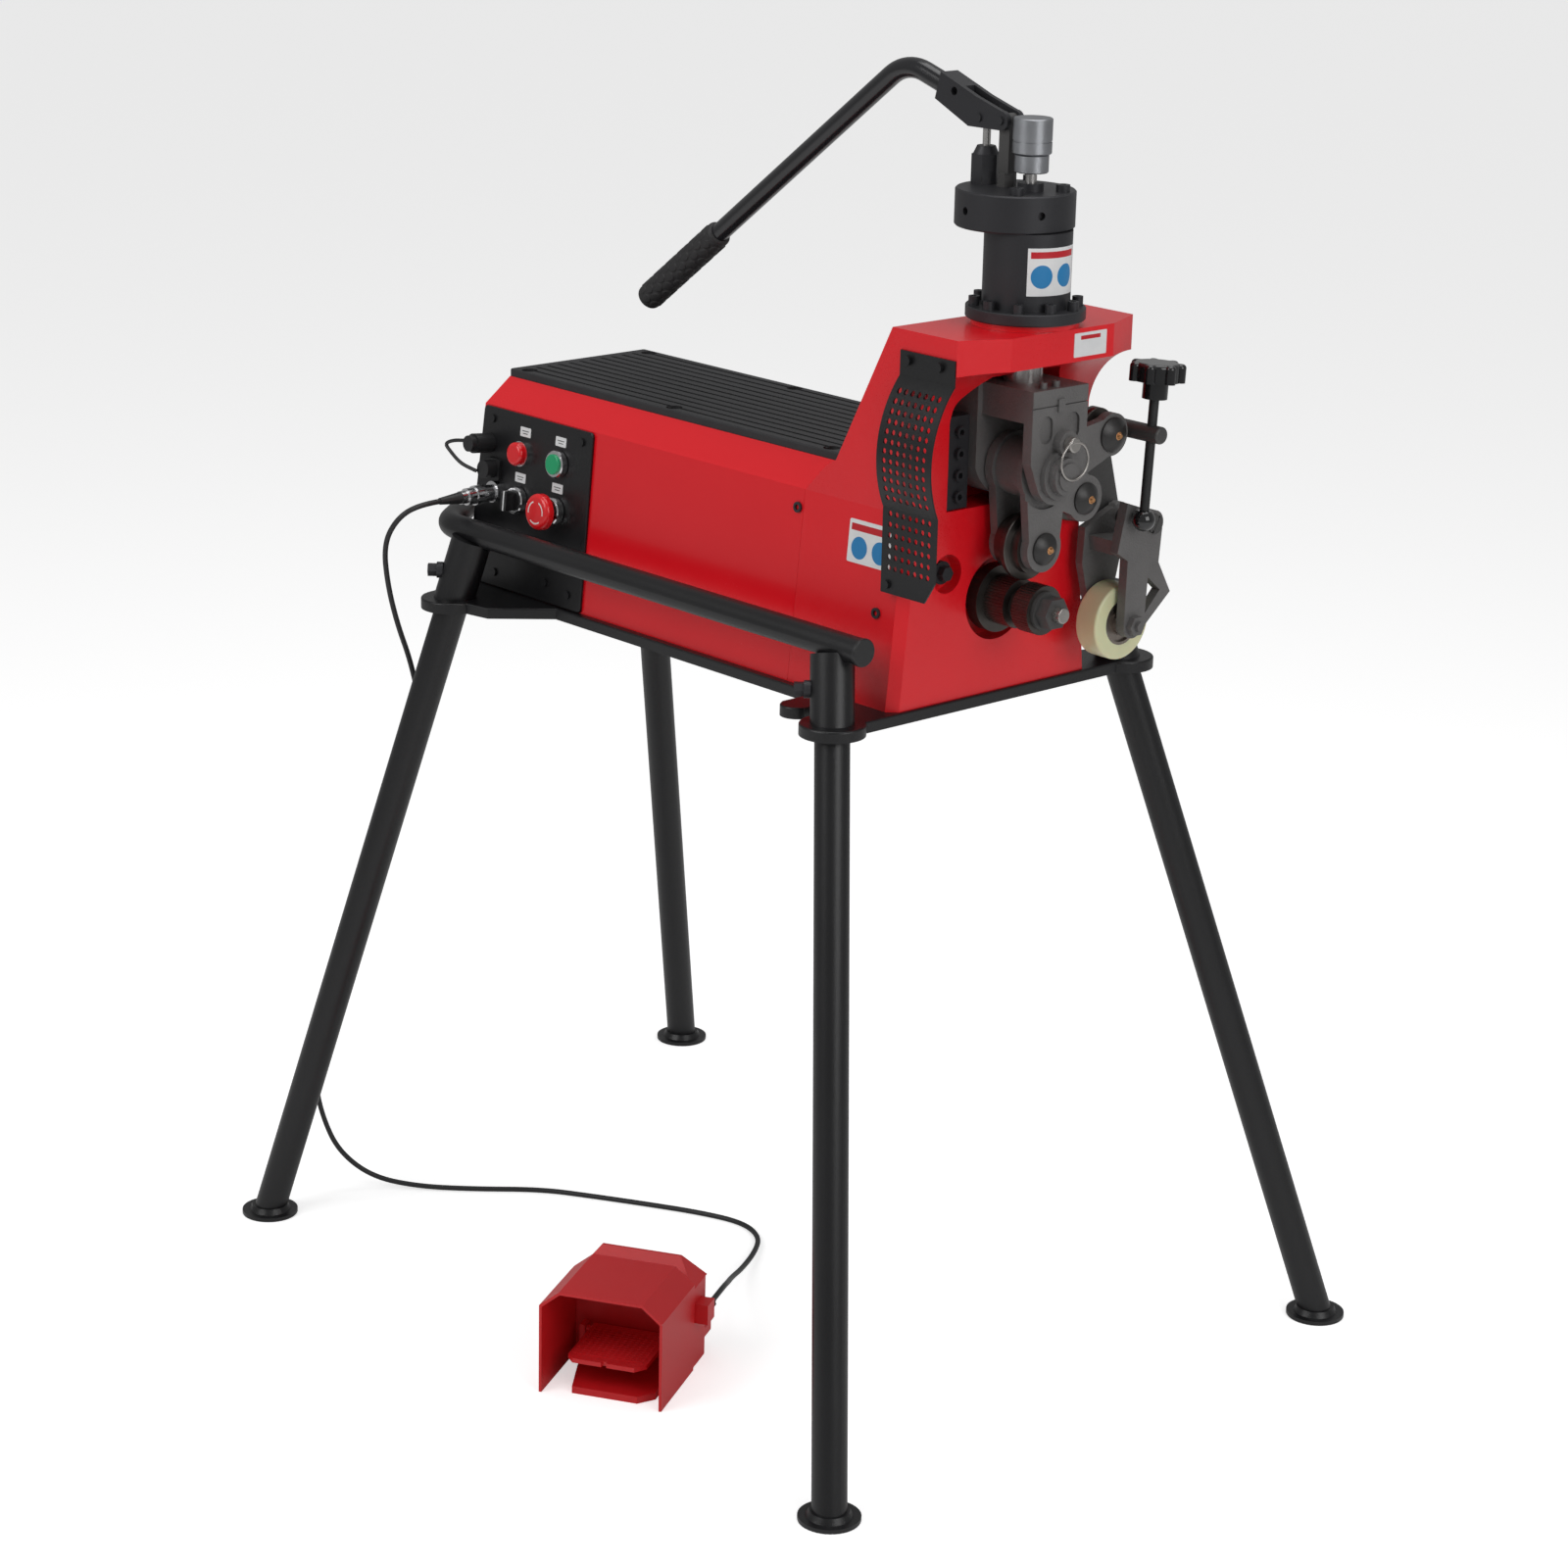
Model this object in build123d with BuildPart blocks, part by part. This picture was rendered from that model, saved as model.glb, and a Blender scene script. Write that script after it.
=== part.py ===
from build123d import *
import os
from math import atan2, cos, degrees, hypot, pi, radians, sin, tan

os.makedirs("parts", exist_ok=True)

# A hydraulic pipe roll-grooving machine on a four-legged stand, with a foot switch.
# Millimetres, +Z up, the floor at z = 0.  +X points along the machine to the working
# head, and the control panel faces -Y.

# ---------------------------------------------------------------- driving dimensions
# clearances
run_gap = 0.05          # radial clearance of a running fit
seat_gap = 0.02         # radial clearance of a pin that is pressed or screwed home
body_gap = 0.5          # clearance between pieces that slide past each other

# stand
plate_top = 747.0
plate_t = 12.0
plate_front = 330.0
plate_back = -385.0
plate_half = 152.0
lug_r = 34.0
tab_r = 17.0
web_x = -246.0          # where the web beside the left lug turns in
leg_r = 18.0
leg_wall = 3.0
leg_gap = 0.4
leg_top = 792.0
socket_r = 22.5
foot_r = 32.0
foot_t = 5.0
weld_r = 24.0
weld_h = 6.0
foot_x_front = 507.0
foot_x_left = -455.0
foot_x_back = -577.0
foot_y = 369.0
top_x_front = 311.0
top_x_left = -311.0
top_x_back = -473.0
top_y = 210.0
rail_r = 14.0
rail_wall = 3.0
rail_z = 820.0
rail_y = 190.0
rail_end_x = 333.0
cap_t = 4.0
bolt_r = 6.0

# body and head
seam_x = 170.0
seam_top_x = 199.0
side_bottom = 143.0     # half width of the body where it meets the plate
crease_y = 124.0        # half width at the crease
crease_z = 946.5
cover_top = 976.0
cover_top_y = 99.0
cover_wall = 2.5
cover_back_top = -348.0
cover_back_crease = -360.0
cover_back_bottom = -368.0
mat_t = 8.4
mat_half = 98.0
mat_back = -350.0
mat_front = 190.0
head_front = 326.0
flange_front = 404.0
flange_top = 1132.0
flange_low = 1099.0
flange_corner = 72.0
pad_r = 54.0
pad_t = 6.0
pocket_half = 76.0
pocket_low = 945.0
pocket_high = 1084.0
pocket_back = 285.0

# drive
drive_z = 846.0
shaft_r = 12.0
bush_r = 22.0
recess_r = 44.0
recess_x = 300.0
flange_roll_r = 35.0
knurl_r = 25.5
groove_r = 17.5
groove_x = 366.0
groove_w = 12.0
roll_start = 318.0
knurl_start = 332.0
roll_end = 394.0

# ram, yoke and turret
pump_x = 350.0
pivot_z = 988.0
yoke_front = 404.0
slab_t = 12.0
yoke_half = 39.0
slide_half = 45.5
yoke_top = 1075.0
bridge_low = 1042.0
pivot_r = 12.0
turret_gap = 2.0
turret_plate_t = 10.0
hub_r = 30.0
lobe_r = 24.0
wide_lobe_r = 22.0
pin_r = 6.0
lobe_a = (0.0, -79.0)
lobe_b = (57.0, -35.0)
lobe_c = (93.0, 26.0)
ridge_w = 7.0
roll_a_r = 36.0
roll_b_r = 26.0
roll_c_r = 24.0
roll_step = 8.0
dome_a_r = 16.5
dome_c_r = 18.0
index_r = 5.0
index_y = 4.0
index_z = 1020.0

# hydraulic pump
pump_flange_r = 60.0
pump_flange_t = 12.0
cyl_r = 44.0
cyl_top = 1226.0
cyl_bore_r = 34.0
pump_head_r = 60.0
pump_head_x = 330.0
pump_head_top = 1263.0
ram_r = 20.0
stem_r = 5.5
stem_top = 1330.0
gland_x = 287.0
gland_af = 26.0
gland_top = 1300.0
rod_r = 4.0
post_x = 317.0
lever_pin_z = 1328.0
lever_half = 12.0
lever_pin_r = 4.0
tube_r = 10.5
grip_r = 15.0

# pipe stabiliser
spindle_x = 410.0
spindle_y = 128.5
spindle_z = 1014.0
spindle_r = 5.0
spindle_lean = 0.055
trunnion_r = 9.0
swing_y = 155.0
swing_z = 914.0
swing_pin_r = 7.0
wheel_y = 131.0
wheel_z = 810.0
wheel_r = 40.0
wheel_back = 352.0
wheel_front = 381.0
hub_wheel_r = 24.0
axle_r = 6.0
arm_back = 339.5
arm_t = 9.5
arm_front = 385.5
arm_front_t = 11.0
ball_r = 12.0

# foot switch, set down at an angle to the machine
pedal_x = 107.0
pedal_y = -417.0
pedal_turn = 30.3
hood_w = 137.0
hood_d = 104.0
hood_side_h = 100.0
hood_h = 118.0
hood_wall = 3.0

# cable
cable_r = 3.0


# ---------------------------------------------------------------- shared planes and points
side_run = hypot(crease_z - plate_top, side_bottom - crease_y)
panel_plane = Plane(
    origin=(0, -crease_y, crease_z),
    x_dir=(1, 0, 0),
    z_dir=(0, -(crease_z - plate_top), side_bottom - crease_y),
)
plate_low = plate_top - plate_t
ram_bottom = yoke_top
pad_top = flange_top + pad_t
flange_up = pad_top + pump_flange_t
turret_back = head_front + 10.0
turret_front = yoke_front - slab_t - turret_gap
mat_top = cover_top + mat_t


def side_half(z):
    """Half width of the tapering side wall at height z."""
    return side_bottom + (crease_y - side_bottom) * (z - plate_top) / (crease_z - plate_top)


def leg_point(foot, top, z):
    """Point at height z on a leg's axis, from its foot to its place under the plate."""
    share = (z - foot_t) / (plate_low - foot_t)
    return Vector(foot[0] + (top[0] - foot[0]) * share, foot[1] + (top[1] - foot[1]) * share, z)


legs = {
    "leg_near": ((foot_x_front, -foot_y), (top_x_front, -top_y)),
    "leg_left": ((foot_x_left, -foot_y), (top_x_left, -top_y)),
    "leg_back": ((foot_x_back, foot_y), (top_x_back, top_y)),
    "leg_right": ((foot_x_front, foot_y), (top_x_front, top_y)),
}


def leg_plane(leg, z):
    """Plane square to a leg's axis, its origin on the axis at height z."""
    a = leg_point(*legs[leg], foot_t)
    b = leg_point(*legs[leg], rail_z)
    return Plane(origin=tuple(leg_point(*legs[leg], z)), z_dir=tuple(b - a))


# ---------------------------------------------------------------- stand
leg_parts = {}
for leg, (foot, top) in legs.items():
    with BuildPart() as leg_part:
        with BuildSketch(leg_plane(leg, -40)):
            Circle(leg_r)
        extrude(amount=(leg_point(foot, top, leg_top) - leg_point(foot, top, -40)).length)
        with BuildSketch(Plane.XY.offset(-120)):
            with Locations((foot[0], foot[1])):
                Rectangle(400, 400)
        extrude(amount=120, mode=Mode.SUBTRACT)
        with BuildSketch(Plane.XY):
            with Locations((foot[0], foot[1])):
                Circle(foot_r)
        extrude(amount=foot_t)
        with BuildSketch(Plane.XY.offset(foot_t)):
            with Locations((foot[0], foot[1])):
                Circle(weld_r)
        extrude(amount=weld_h, taper=30)
        fillet(leg_part.faces().filter_by(Plane.XY).sort_by(Axis.Z)[0].edges(), 1.0)
        with BuildSketch(leg_plane(leg, foot_t + 18)):
            Circle(leg_r - leg_wall)
        extrude(amount=900, mode=Mode.SUBTRACT)
    leg_part.part.label = leg
    export_step(leg_part.part, f"parts/{leg}.step")
    leg_parts[leg] = leg_part.part

with BuildPart() as base_plate:
    with BuildSketch(Plane.XY.offset(plate_low)):
        with Locations(((plate_front + plate_back) / 2, 0)):
            Rectangle(plate_front - plate_back, 2 * plate_half)
        for sx, sy in ((top_x_front, -1), (top_x_left, -1), (top_x_front, 1), (top_x_back, 1)):
            inner = plate_half * sy
            reach = 40 if sx < 0 else plate_front - sx
            with BuildLine():
                Polyline(
                    (sx - lug_r - 22, inner - 20 * sy),
                    (sx - lug_r, top_y * sy),
                    (sx + min(reach, lug_r), top_y * sy),
                    (sx + min(reach, lug_r + 22), inner - 20 * sy),
                    close=True,
                )
            make_face()
            with Locations((sx, top_y * sy)):
                Circle(lug_r)
        with BuildLine():
            Polyline(
                (plate_back + 40, plate_half - 60),
                (plate_back + 40, plate_half),
                (top_x_back + 20, top_y + lug_r),
                (top_x_back - lug_r + 4, top_y - 14),
                close=True,
            )
        make_face()
        with BuildLine():
            Polyline(
                (top_x_left, -top_y), (top_x_left + lug_r - 1, -top_y - 6), (web_x, -top_y),
                (web_x + 47, -plate_half), (web_x + 47, -plate_half + 20), (top_x_left, -plate_half + 20),
                close=True,
            )
        make_face()
        with Locations((238, -(plate_half + 40))):
            Circle(tab_r)
        with Locations((238, -(plate_half + 10))):
            Rectangle(2 * tab_r, 70)
    extrude(amount=plate_t)
    for leg in legs:
        with BuildSketch(leg_plane(leg, plate_low - 30)):
            Circle(leg_r + leg_gap)
        extrude(amount=90, mode=Mode.SUBTRACT)
    fillet(base_plate.faces().sort_by(Axis.Z)[-1].outer_wire().edges(), 2.0)
base_plate.part.label = "base_plate"
export_step(base_plate.part, "parts/base_plate.step")

# Each leg is held in a tube on the plate, and the tubes carry the rail that runs
# down both sides and round the rear end of the machine.
with BuildPart() as carry_rail:
    for leg in legs:
        with BuildSketch(leg_plane(leg, plate_top - 30)):
            Circle(socket_r)
        extrude(amount=30 + rail_z - plate_top - 4)
    with BuildSketch(Plane.XY.offset(plate_top - 100)):
        Rectangle(1400, 900)
    extrude(amount=100, mode=Mode.SUBTRACT)
    with BuildLine() as rail_line:
        FilletPolyline(
            (rail_end_x - cap_t, -rail_y, rail_z),
            (-345, -rail_y, rail_z),
            (-404, -116, rail_z),
            (-540, rail_y, rail_z),
            (rail_end_x - cap_t, rail_y, rail_z),
            radius=50,
        )
    with BuildSketch(Plane(rail_line.line @ 0, z_dir=rail_line.line % 0)):
        Circle(rail_r)
    sweep()
    for leg in legs:
        with BuildSketch(leg_plane(leg, plate_top - 30)):
            Circle(leg_r + leg_gap)
        extrude(amount=30 + rail_z - rail_r - plate_top + 1.5, mode=Mode.SUBTRACT)
carry_rail.part.label = "carry_rail"
export_step(carry_rail.part, "parts/carry_rail.step")

with BuildPart() as rail_caps:
    with BuildSketch(Plane.YZ.offset(rail_end_x - cap_t)):
        with Locations((-rail_y, rail_z), (rail_y, rail_z)):
            Circle(rail_r + 0.6)
    extrude(amount=cap_t)
    fillet(rail_caps.faces().sort_by(Axis.X)[-2:].edges(), 1.5)
rail_caps.part.label = "rail_caps"
export_step(rail_caps.part, "parts/rail_caps.step")

# clamp screws that hold the legs in their tubes
# ---------------------------------------------------------------- body
with BuildPart() as head_casting:
    # side view
    with BuildSketch(Plane.XZ):
        with BuildLine():
            Polyline(
                (head_front, 1035),
                (head_front, plate_top),
                (seam_x, plate_top),
                (seam_x, crease_z),
                (seam_top_x, cover_top),
                (214, cover_top + 9),
                (229, 1014),
                (290, flange_top),
                (flange_front, flange_top),
                (flange_front, flange_low),
            )
            ThreePointArc((flange_front, flange_low), (head_front + 22, 1077), (head_front, 1035))
        make_face()
    extrude(amount=200, both=True)
    # end view
    with BuildSketch(Plane.YZ):
        with BuildLine():
            Polyline(
                (-side_bottom, plate_top),
                (side_bottom, plate_top),
                (crease_y, crease_z),
                (crease_y, flange_top),
                (-crease_y, flange_top),
                (-crease_y, crease_z),
                close=True,
            )
        make_face()
    extrude(amount=flange_front + 50, mode=Mode.INTERSECT)
    # plan view, which cuts the front corners of the top flange
    with BuildSketch(Plane.XY.offset(plate_top)):
        with BuildLine():
            Polyline(
                (seam_x, -200),
                (flange_front - 57, -200),
                (flange_front, -flange_corner),
                (flange_front, flange_corner),
                (flange_front - 57, 200),
                (seam_x, 200),
                close=True,
            )
        make_face()
    extrude(amount=500, mode=Mode.INTERSECT)
    fillet(head_casting.edges().filter_by(Axis.Z).group_by(Axis.X)[-1], 5.0)
    # the vertical front corners are broken by a flat
    for side in (-1, 1):
        with BuildSketch(Plane.XY.offset(plate_top)):
            with BuildLine():
                Polyline(
                    (head_front + 0.1, side * (side_bottom - 10)),
                    (head_front + 0.1, side * (side_bottom + 1)),
                    (head_front - 11, side * (side_bottom + 1)),
                    close=True,
                )
            make_face()
        with BuildSketch(Plane.XY.offset(crease_z)):
            with BuildLine():
                Polyline(
                    (head_front + 0.1, side * (crease_y - 10)),
                    (head_front + 0.1, side * (crease_y + 1)),
                    (head_front - 11, side * (crease_y + 1)),
                    close=True,
                )
            make_face()
        loft(mode=Mode.SUBTRACT)
    # round pad under the pump
    with BuildSketch(Plane.XY.offset(flange_top - 1)):
        with Locations((pump_x, 0)):
            Circle(pad_r)
    extrude(amount=pad_t + 1)
    # pocket for the slide
    with BuildSketch(Plane.YZ.offset(pocket_back)):
        with BuildLine():
            Polyline(
                (-pocket_half, pocket_low),
                (pocket_half, pocket_low),
                (pocket_half, pocket_high - 28),
                (pocket_half - 28, pocket_high),
                (28 - pocket_half, pocket_high),
                (-pocket_half, pocket_high - 28),
                close=True,
            )
        pocket_face = make_face()
        fillet(pocket_face.vertices().group_by(Axis.Y)[1], 20)
    extrude(amount=200, mode=Mode.SUBTRACT)
    # way for the ram
    with BuildSketch(Plane.XY.offset(pocket_high - 30)):
        with Locations((pump_x, 0)):
            Circle(ram_r + 1.5)
    extrude(amount=200, mode=Mode.SUBTRACT)
    # hollow that opens to the cover, and the drive bore
    with BuildSketch(Plane.YZ.offset(seam_x)):
        with BuildLine():
            Polyline(
                (-110, plate_top),
                (110, plate_top),
                (108, 922),
                (-108, 922),
                close=True,
            )
        make_face()
    extrude(amount=92, mode=Mode.SUBTRACT)
    with BuildSketch(Plane.YZ.offset(seam_x)):
        with Locations((0, drive_z)):
            Circle(bush_r)
    extrude(amount=200, mode=Mode.SUBTRACT)
    with BuildSketch(Plane.YZ.offset(recess_x)):
        with Locations((0, drive_z)):
            Circle(recess_r)
    extrude(amount=60, mode=Mode.SUBTRACT)
    # recess of the side adjusting screw
    with BuildSketch(Plane.YZ.offset(head_front - 16)):
        with Locations((-72, 881)):
            Circle(20)
    extrude(amount=40, mode=Mode.SUBTRACT)
head_casting.part.label = "head_casting"
export_step(head_casting.part, "parts/head_casting.step")

with BuildPart() as cover_core:
    with BuildSketch(Plane.XZ):
        with BuildLine():
            Polyline(
                (cover_back_bottom + cover_wall, plate_top - 5),
                (cover_back_crease + cover_wall, crease_z),
                (cover_back_top + cover_wall, cover_top - cover_wall),
                (seam_top_x + 20, cover_top - cover_wall),
                (seam_top_x + 20, plate_top - 5),
                close=True,
            )
        make_face()
    extrude(amount=200, both=True)
    with BuildSketch(Plane.YZ.offset(-400)):
        with BuildLine():
            Polyline(
                (-side_bottom + cover_wall, plate_top - 5),
                (side_bottom - cover_wall, plate_top - 5),
                (crease_y - cover_wall, crease_z),
                (cover_top_y - cover_wall, cover_top - cover_wall),
                (-cover_top_y + cover_wall, cover_top - cover_wall),
                (-crease_y + cover_wall, crease_z),
                close=True,
            )
        make_face()
    extrude(amount=700, mode=Mode.INTERSECT)

with BuildPart() as rear_cover:
    with BuildSketch(Plane.XZ):
        with BuildLine():
            Polyline(
                (cover_back_bottom, plate_top),
                (cover_back_crease, crease_z),
                (cover_back_top, cover_top),
                (seam_top_x - 0.3, cover_top),
                (seam_x - 0.3, crease_z),
                (seam_x - 0.3, plate_top),
                close=True,
            )
        make_face()
    extrude(amount=200, both=True)
    with BuildSketch(Plane.YZ.offset(-400)):
        with BuildLine():
            Polyline(
                (-side_bottom, plate_top),
                (side_bottom, plate_top),
                (crease_y, crease_z),
                (cover_top_y, cover_top),
                (-cover_top_y, cover_top),
                (-crease_y, crease_z),
                close=True,
            )
        make_face()
    extrude(amount=700, mode=Mode.INTERSECT)
    add(cover_core.part, mode=Mode.SUBTRACT)
rear_cover.part.label = "rear_cover"
export_step(rear_cover.part, "parts/rear_cover.step")

# ribbed rubber mat with six screw recesses
with BuildPart() as top_mat:
    with BuildSketch(Plane.XY.offset(cover_top)):
        with Locations(((mat_front + mat_back) / 2, 0)):
            mat_plan = Rectangle(mat_front - mat_back, 2 * mat_half)
        fillet(mat_plan.vertices().group_by(Axis.X)[0], 3)
        fillet(mat_plan.vertices().group_by(Axis.X)[-1], 22)
    extrude(amount=mat_t)
    fillet(top_mat.faces().sort_by(Axis.Z)[-1].outer_wire().edges(), 2.0)
    with BuildSketch(Plane.XY.offset(mat_top)):
        with GridLocations(0, 15.5, 1, 12):
            with Locations(((mat_front + mat_back) / 2, 0)):
                SlotOverall(mat_front - mat_back - 26, 4.5)
    extrude(amount=-1.8, mode=Mode.SUBTRACT)
    with BuildSketch(Plane.XY.offset(mat_top)):
        with Locations(((mat_front + mat_back) / 2, 0)):
            with GridLocations((mat_front - mat_back) / 2 - 22, 2 * mat_half - 22, 3, 2):
                Circle(9)
    extrude(amount=-4, mode=Mode.SUBTRACT)
top_mat.part.label = "top_mat"
export_step(top_mat.part, "parts/top_mat.step")

with BuildPart() as control_panel:
    with BuildSketch(panel_plane):
        with BuildLine():
            Polyline(
                (-357, -1),
                (-167, -1),
                (-165, -side_run + 0.4),
                (-366, -side_run + 0.4),
                close=True,
            )
        panel_face = make_face()
        fillet(panel_face.vertices(), 5)
    extrude(amount=3.5)
    fillet(control_panel.faces().sort_by(Axis.Y)[0].outer_wire().edges(), 1.2)
    with BuildSketch(panel_plane.offset(3.5)):
        with Locations((-340, -14), (-184, -14), (-228, -178), (-318, -184), (-188, -184)):
            Circle(4.5)
    extrude(amount=2.2)
control_panel.part.label = "control_panel"
export_step(control_panel.part, "parts/control_panel.step")

# perforated guard beside the rolls: a bent sheet on the left of the head
guard_x0 = 304.0
guard_x1 = 380.0
guard_t = 2.0
guard_top = 1112.0
guard_bend = 1086.0
guard_knee = 957.0
guard_low = 870.0
guard_out = 154.0
guard_flat = 141.0
with BuildPart() as side_guard:
    with BuildSketch(Plane.YZ.offset(guard_x0)):
        with BuildLine():
            Line((-crease_y, guard_top), (-crease_y, guard_bend))
            ThreePointArc((-crease_y, guard_bend), (-guard_out + guard_t, 1020), (-guard_flat, guard_knee))
            Line((-guard_flat, guard_knee), (-guard_flat, guard_low))
            Line((-guard_flat, guard_low), (-guard_flat - guard_t, guard_low))
            Line((-guard_flat - guard_t, guard_low), (-guard_flat - guard_t, guard_knee))
            ThreePointArc(
                (-guard_flat - guard_t, guard_knee), (-guard_out, 1020), (-crease_y - guard_t, guard_bend + 1)
            )
            Line((-crease_y - guard_t, guard_bend + 1), (-crease_y - guard_t, guard_top))
            Line((-crease_y - guard_t, guard_top), (-crease_y, guard_top))
        make_face()
    extrude(amount=guard_x1 - guard_x0)
    with BuildSketch(Plane.XZ.offset(100)):
        with BuildLine():
            Polyline((guard_x1, guard_low), (guard_x1 - 14, guard_low), (guard_x1, guard_low + 22), close=True)
        make_face()
        with Locations(((guard_x0 + guard_x1) / 2, 1021)):
            with GridLocations(9.2, 9.6, 7, 12):
                Circle(2.8)
        with Locations(((guard_x0 + guard_x1) / 2, 924)):
            with GridLocations(9.2, 11.0, 7, 6):
                Circle(2.8)
    extrude(amount=100, mode=Mode.SUBTRACT)
    with BuildSketch(Plane.XZ.offset(crease_y + guard_t)):
        with Locations((guard_x0 + 12, guard_top - 9), (guard_x1 - 20, guard_top - 9)):
            Circle(5)
    extrude(amount=4)
    with BuildSketch(Plane.XZ.offset(guard_flat + guard_t)):
        with Locations((guard_x0 + 9, guard_low + 9)):
            Circle(4.5)
    extrude(amount=3)
    standoff = side_half(guard_low + 4) + 0.1
    with BuildSketch(Plane.XZ.offset(standoff)):
        with Locations((guard_x0 + 9, guard_low + 9)):
            Circle(4.5)
    extrude(amount=guard_flat - standoff + 0.2)
side_guard.part.label = "side_guard"
export_step(side_guard.part, "parts/side_guard.step")

# gib plates that guide the slide in the pocket, with their screws
with BuildPart() as gib_plates:
    for side in (-1, 1):
        inner = slide_half + body_gap
        with BuildSketch(Plane.XY.offset(pocket_low + 1)):
            with Locations(((pocket_back + 1 + head_front - 2) / 2, side * (inner + pocket_half - 1) / 2)):
                Rectangle(head_front - 2 - pocket_back - 1, pocket_half - 1 - inner)
        extrude(amount=95)
        with BuildSketch(Plane.YZ.offset(head_front - 2)):
            with Locations(*[(side * 61, pocket_low + 14 + 22 * i) for i in range(4)]):
                Circle(6)
                RegularPolygon(3.4, 6, mode=Mode.SUBTRACT)
        extrude(amount=5)
gib_plates.part.label = "gib_plates"
export_step(gib_plates.part, "parts/gib_plates.step")

with BuildPart() as body_screws:
    screw_spots = [
        (panel_plane.location * Location((162, -20, 0))).position,
        (panel_plane.location * Location((290, -104, 0))).position,
    ]
    for spot in screw_spots:
        with BuildSketch(Plane(origin=tuple(spot), x_dir=(1, 0, 0), z_dir=tuple(panel_plane.z_dir))):
            Circle(5.5)
            RegularPolygon(3.2, 6, mode=Mode.SUBTRACT)
        extrude(amount=2.5)
    # square head set screw in the front cheek
    with BuildSketch(Plane.YZ.offset(head_front - 15.9)):
        with Locations((-72, 881)):
            Circle(12)
    extrude(amount=9)
    with BuildSketch(Plane.YZ.offset(head_front - 6.9)):
        with Locations((-72, 881)):
            RegularPolygon(8, 6)
    extrude(amount=8)
    # leg clamping screws in the sockets
    for leg in legs:
        side = -1 if legs[leg][0][1] < 0 else 1
        spot = leg_point(*legs[leg], plate_top + 30)
        out = Vector(-0.68, 0.73 * side, 0)
        with BuildSketch(Plane(origin=tuple(spot + out * (socket_r - 1)), z_dir=tuple(out))):
            Circle(9.0)
        extrude(amount=7)
        with BuildSketch(Plane(origin=tuple(spot + out * (socket_r + 6)), z_dir=tuple(out))):
            RegularPolygon(7.5, 6)
        extrude(amount=10)
        with BuildSketch(leg_plane(leg, plate_top)):
            Circle(socket_r + 0.05)
        extrude(amount=70, mode=Mode.SUBTRACT)
body_screws.part.label = "body_screws"
export_step(body_screws.part, "parts/body_screws.step")


# ---------------------------------------------------------------- drive
with BuildPart() as gear_motor:
    with BuildSketch(Plane.YZ.offset(-255)):
        with Locations((0, drive_z)):
            Circle(62)
    extrude(amount=275)
    with BuildSketch(Plane.YZ.offset(20)):
        with Locations((0, drive_z)):
            Circle(84)
        with Locations((0, (drive_z - 60 + plate_top) / 2)):
            Rectangle(130, drive_z - 60 - plate_top)
    extrude(amount=120)
    with BuildSketch(Plane.YZ.offset(-200)):
        with Locations((0, (drive_z - 50 + plate_top) / 2)):
            Rectangle(110, drive_z - 50 - plate_top)
    extrude(amount=90)
    with BuildSketch(Plane.YZ.offset(140)):
        with Locations((0, drive_z)):
            Circle(40)
    extrude(amount=70)
    with BuildSketch(Plane.YZ.offset(120)):
        with Locations((0, drive_z)):
            Circle(shaft_r + run_gap)
    extrude(amount=100, mode=Mode.SUBTRACT)
gear_motor.part.label = "gear_motor"
export_step(gear_motor.part, "parts/gear_motor.step")

with BuildPart() as drive_bush:
    with BuildSketch(Plane.YZ.offset(seam_x + 94)):
        with Locations((0, drive_z)):
            Circle(bush_r - seat_gap)
            Circle(shaft_r + run_gap, mode=Mode.SUBTRACT)
    extrude(amount=recess_x - seam_x - 94 - 1)
drive_bush.part.label = "drive_bush"
export_step(drive_bush.part, "parts/drive_bush.step")

with BuildPart() as drive_shaft:
    with BuildSketch(Plane.YZ.offset(122)):
        with Locations((0, drive_z)):
            Circle(shaft_r)
    extrude(amount=roll_end + 4 - 122)
    with BuildSketch(Plane.YZ.offset(recess_x + 0.5)):
        with Locations((0, drive_z)):
            Circle(shaft_r + 8)
    extrude(amount=roll_start - recess_x - 0.5)
    with BuildSketch(Plane.YZ.offset(roll_end + 4)):
        with Locations((0, drive_z)):
            Circle(8)
    extrude(amount=24)
    fillet(drive_shaft.faces().sort_by(Axis.X)[-1].edges(), 1.2)
drive_shaft.part.label = "drive_shaft"
export_step(drive_shaft.part, "parts/drive_shaft.step")

with BuildPart() as drive_roll:
    with BuildSketch(Plane.XZ):
        with BuildLine():
            Polyline(
                (roll_start, drive_z + shaft_r + seat_gap),
                (roll_start, drive_z + flange_roll_r),
                (knurl_start, drive_z + flange_roll_r),
                (knurl_start, drive_z + knurl_r),
                (groove_x - groove_w / 2, drive_z + knurl_r),
                (groove_x - groove_w / 2 + 1, drive_z + groove_r),
                (groove_x + groove_w / 2 - 1, drive_z + groove_r),
                (groove_x + groove_w / 2, drive_z + knurl_r),
                (roll_end, drive_z + knurl_r),
                (roll_end, drive_z + shaft_r + seat_gap),
                close=True,
            )
        make_face()
    revolve(axis=Axis((0, 0, drive_z), (1, 0, 0)))
    with BuildSketch(Plane.YZ.offset(knurl_start)):
        with Locations((0, drive_z)):
            with PolarLocations(knurl_r + 0.5, 48):
                Circle(1.1)
    extrude(amount=roll_end - knurl_start + 1, mode=Mode.SUBTRACT)
drive_roll.part.label = "drive_roll"
export_step(drive_roll.part, "parts/drive_roll.step")

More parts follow.
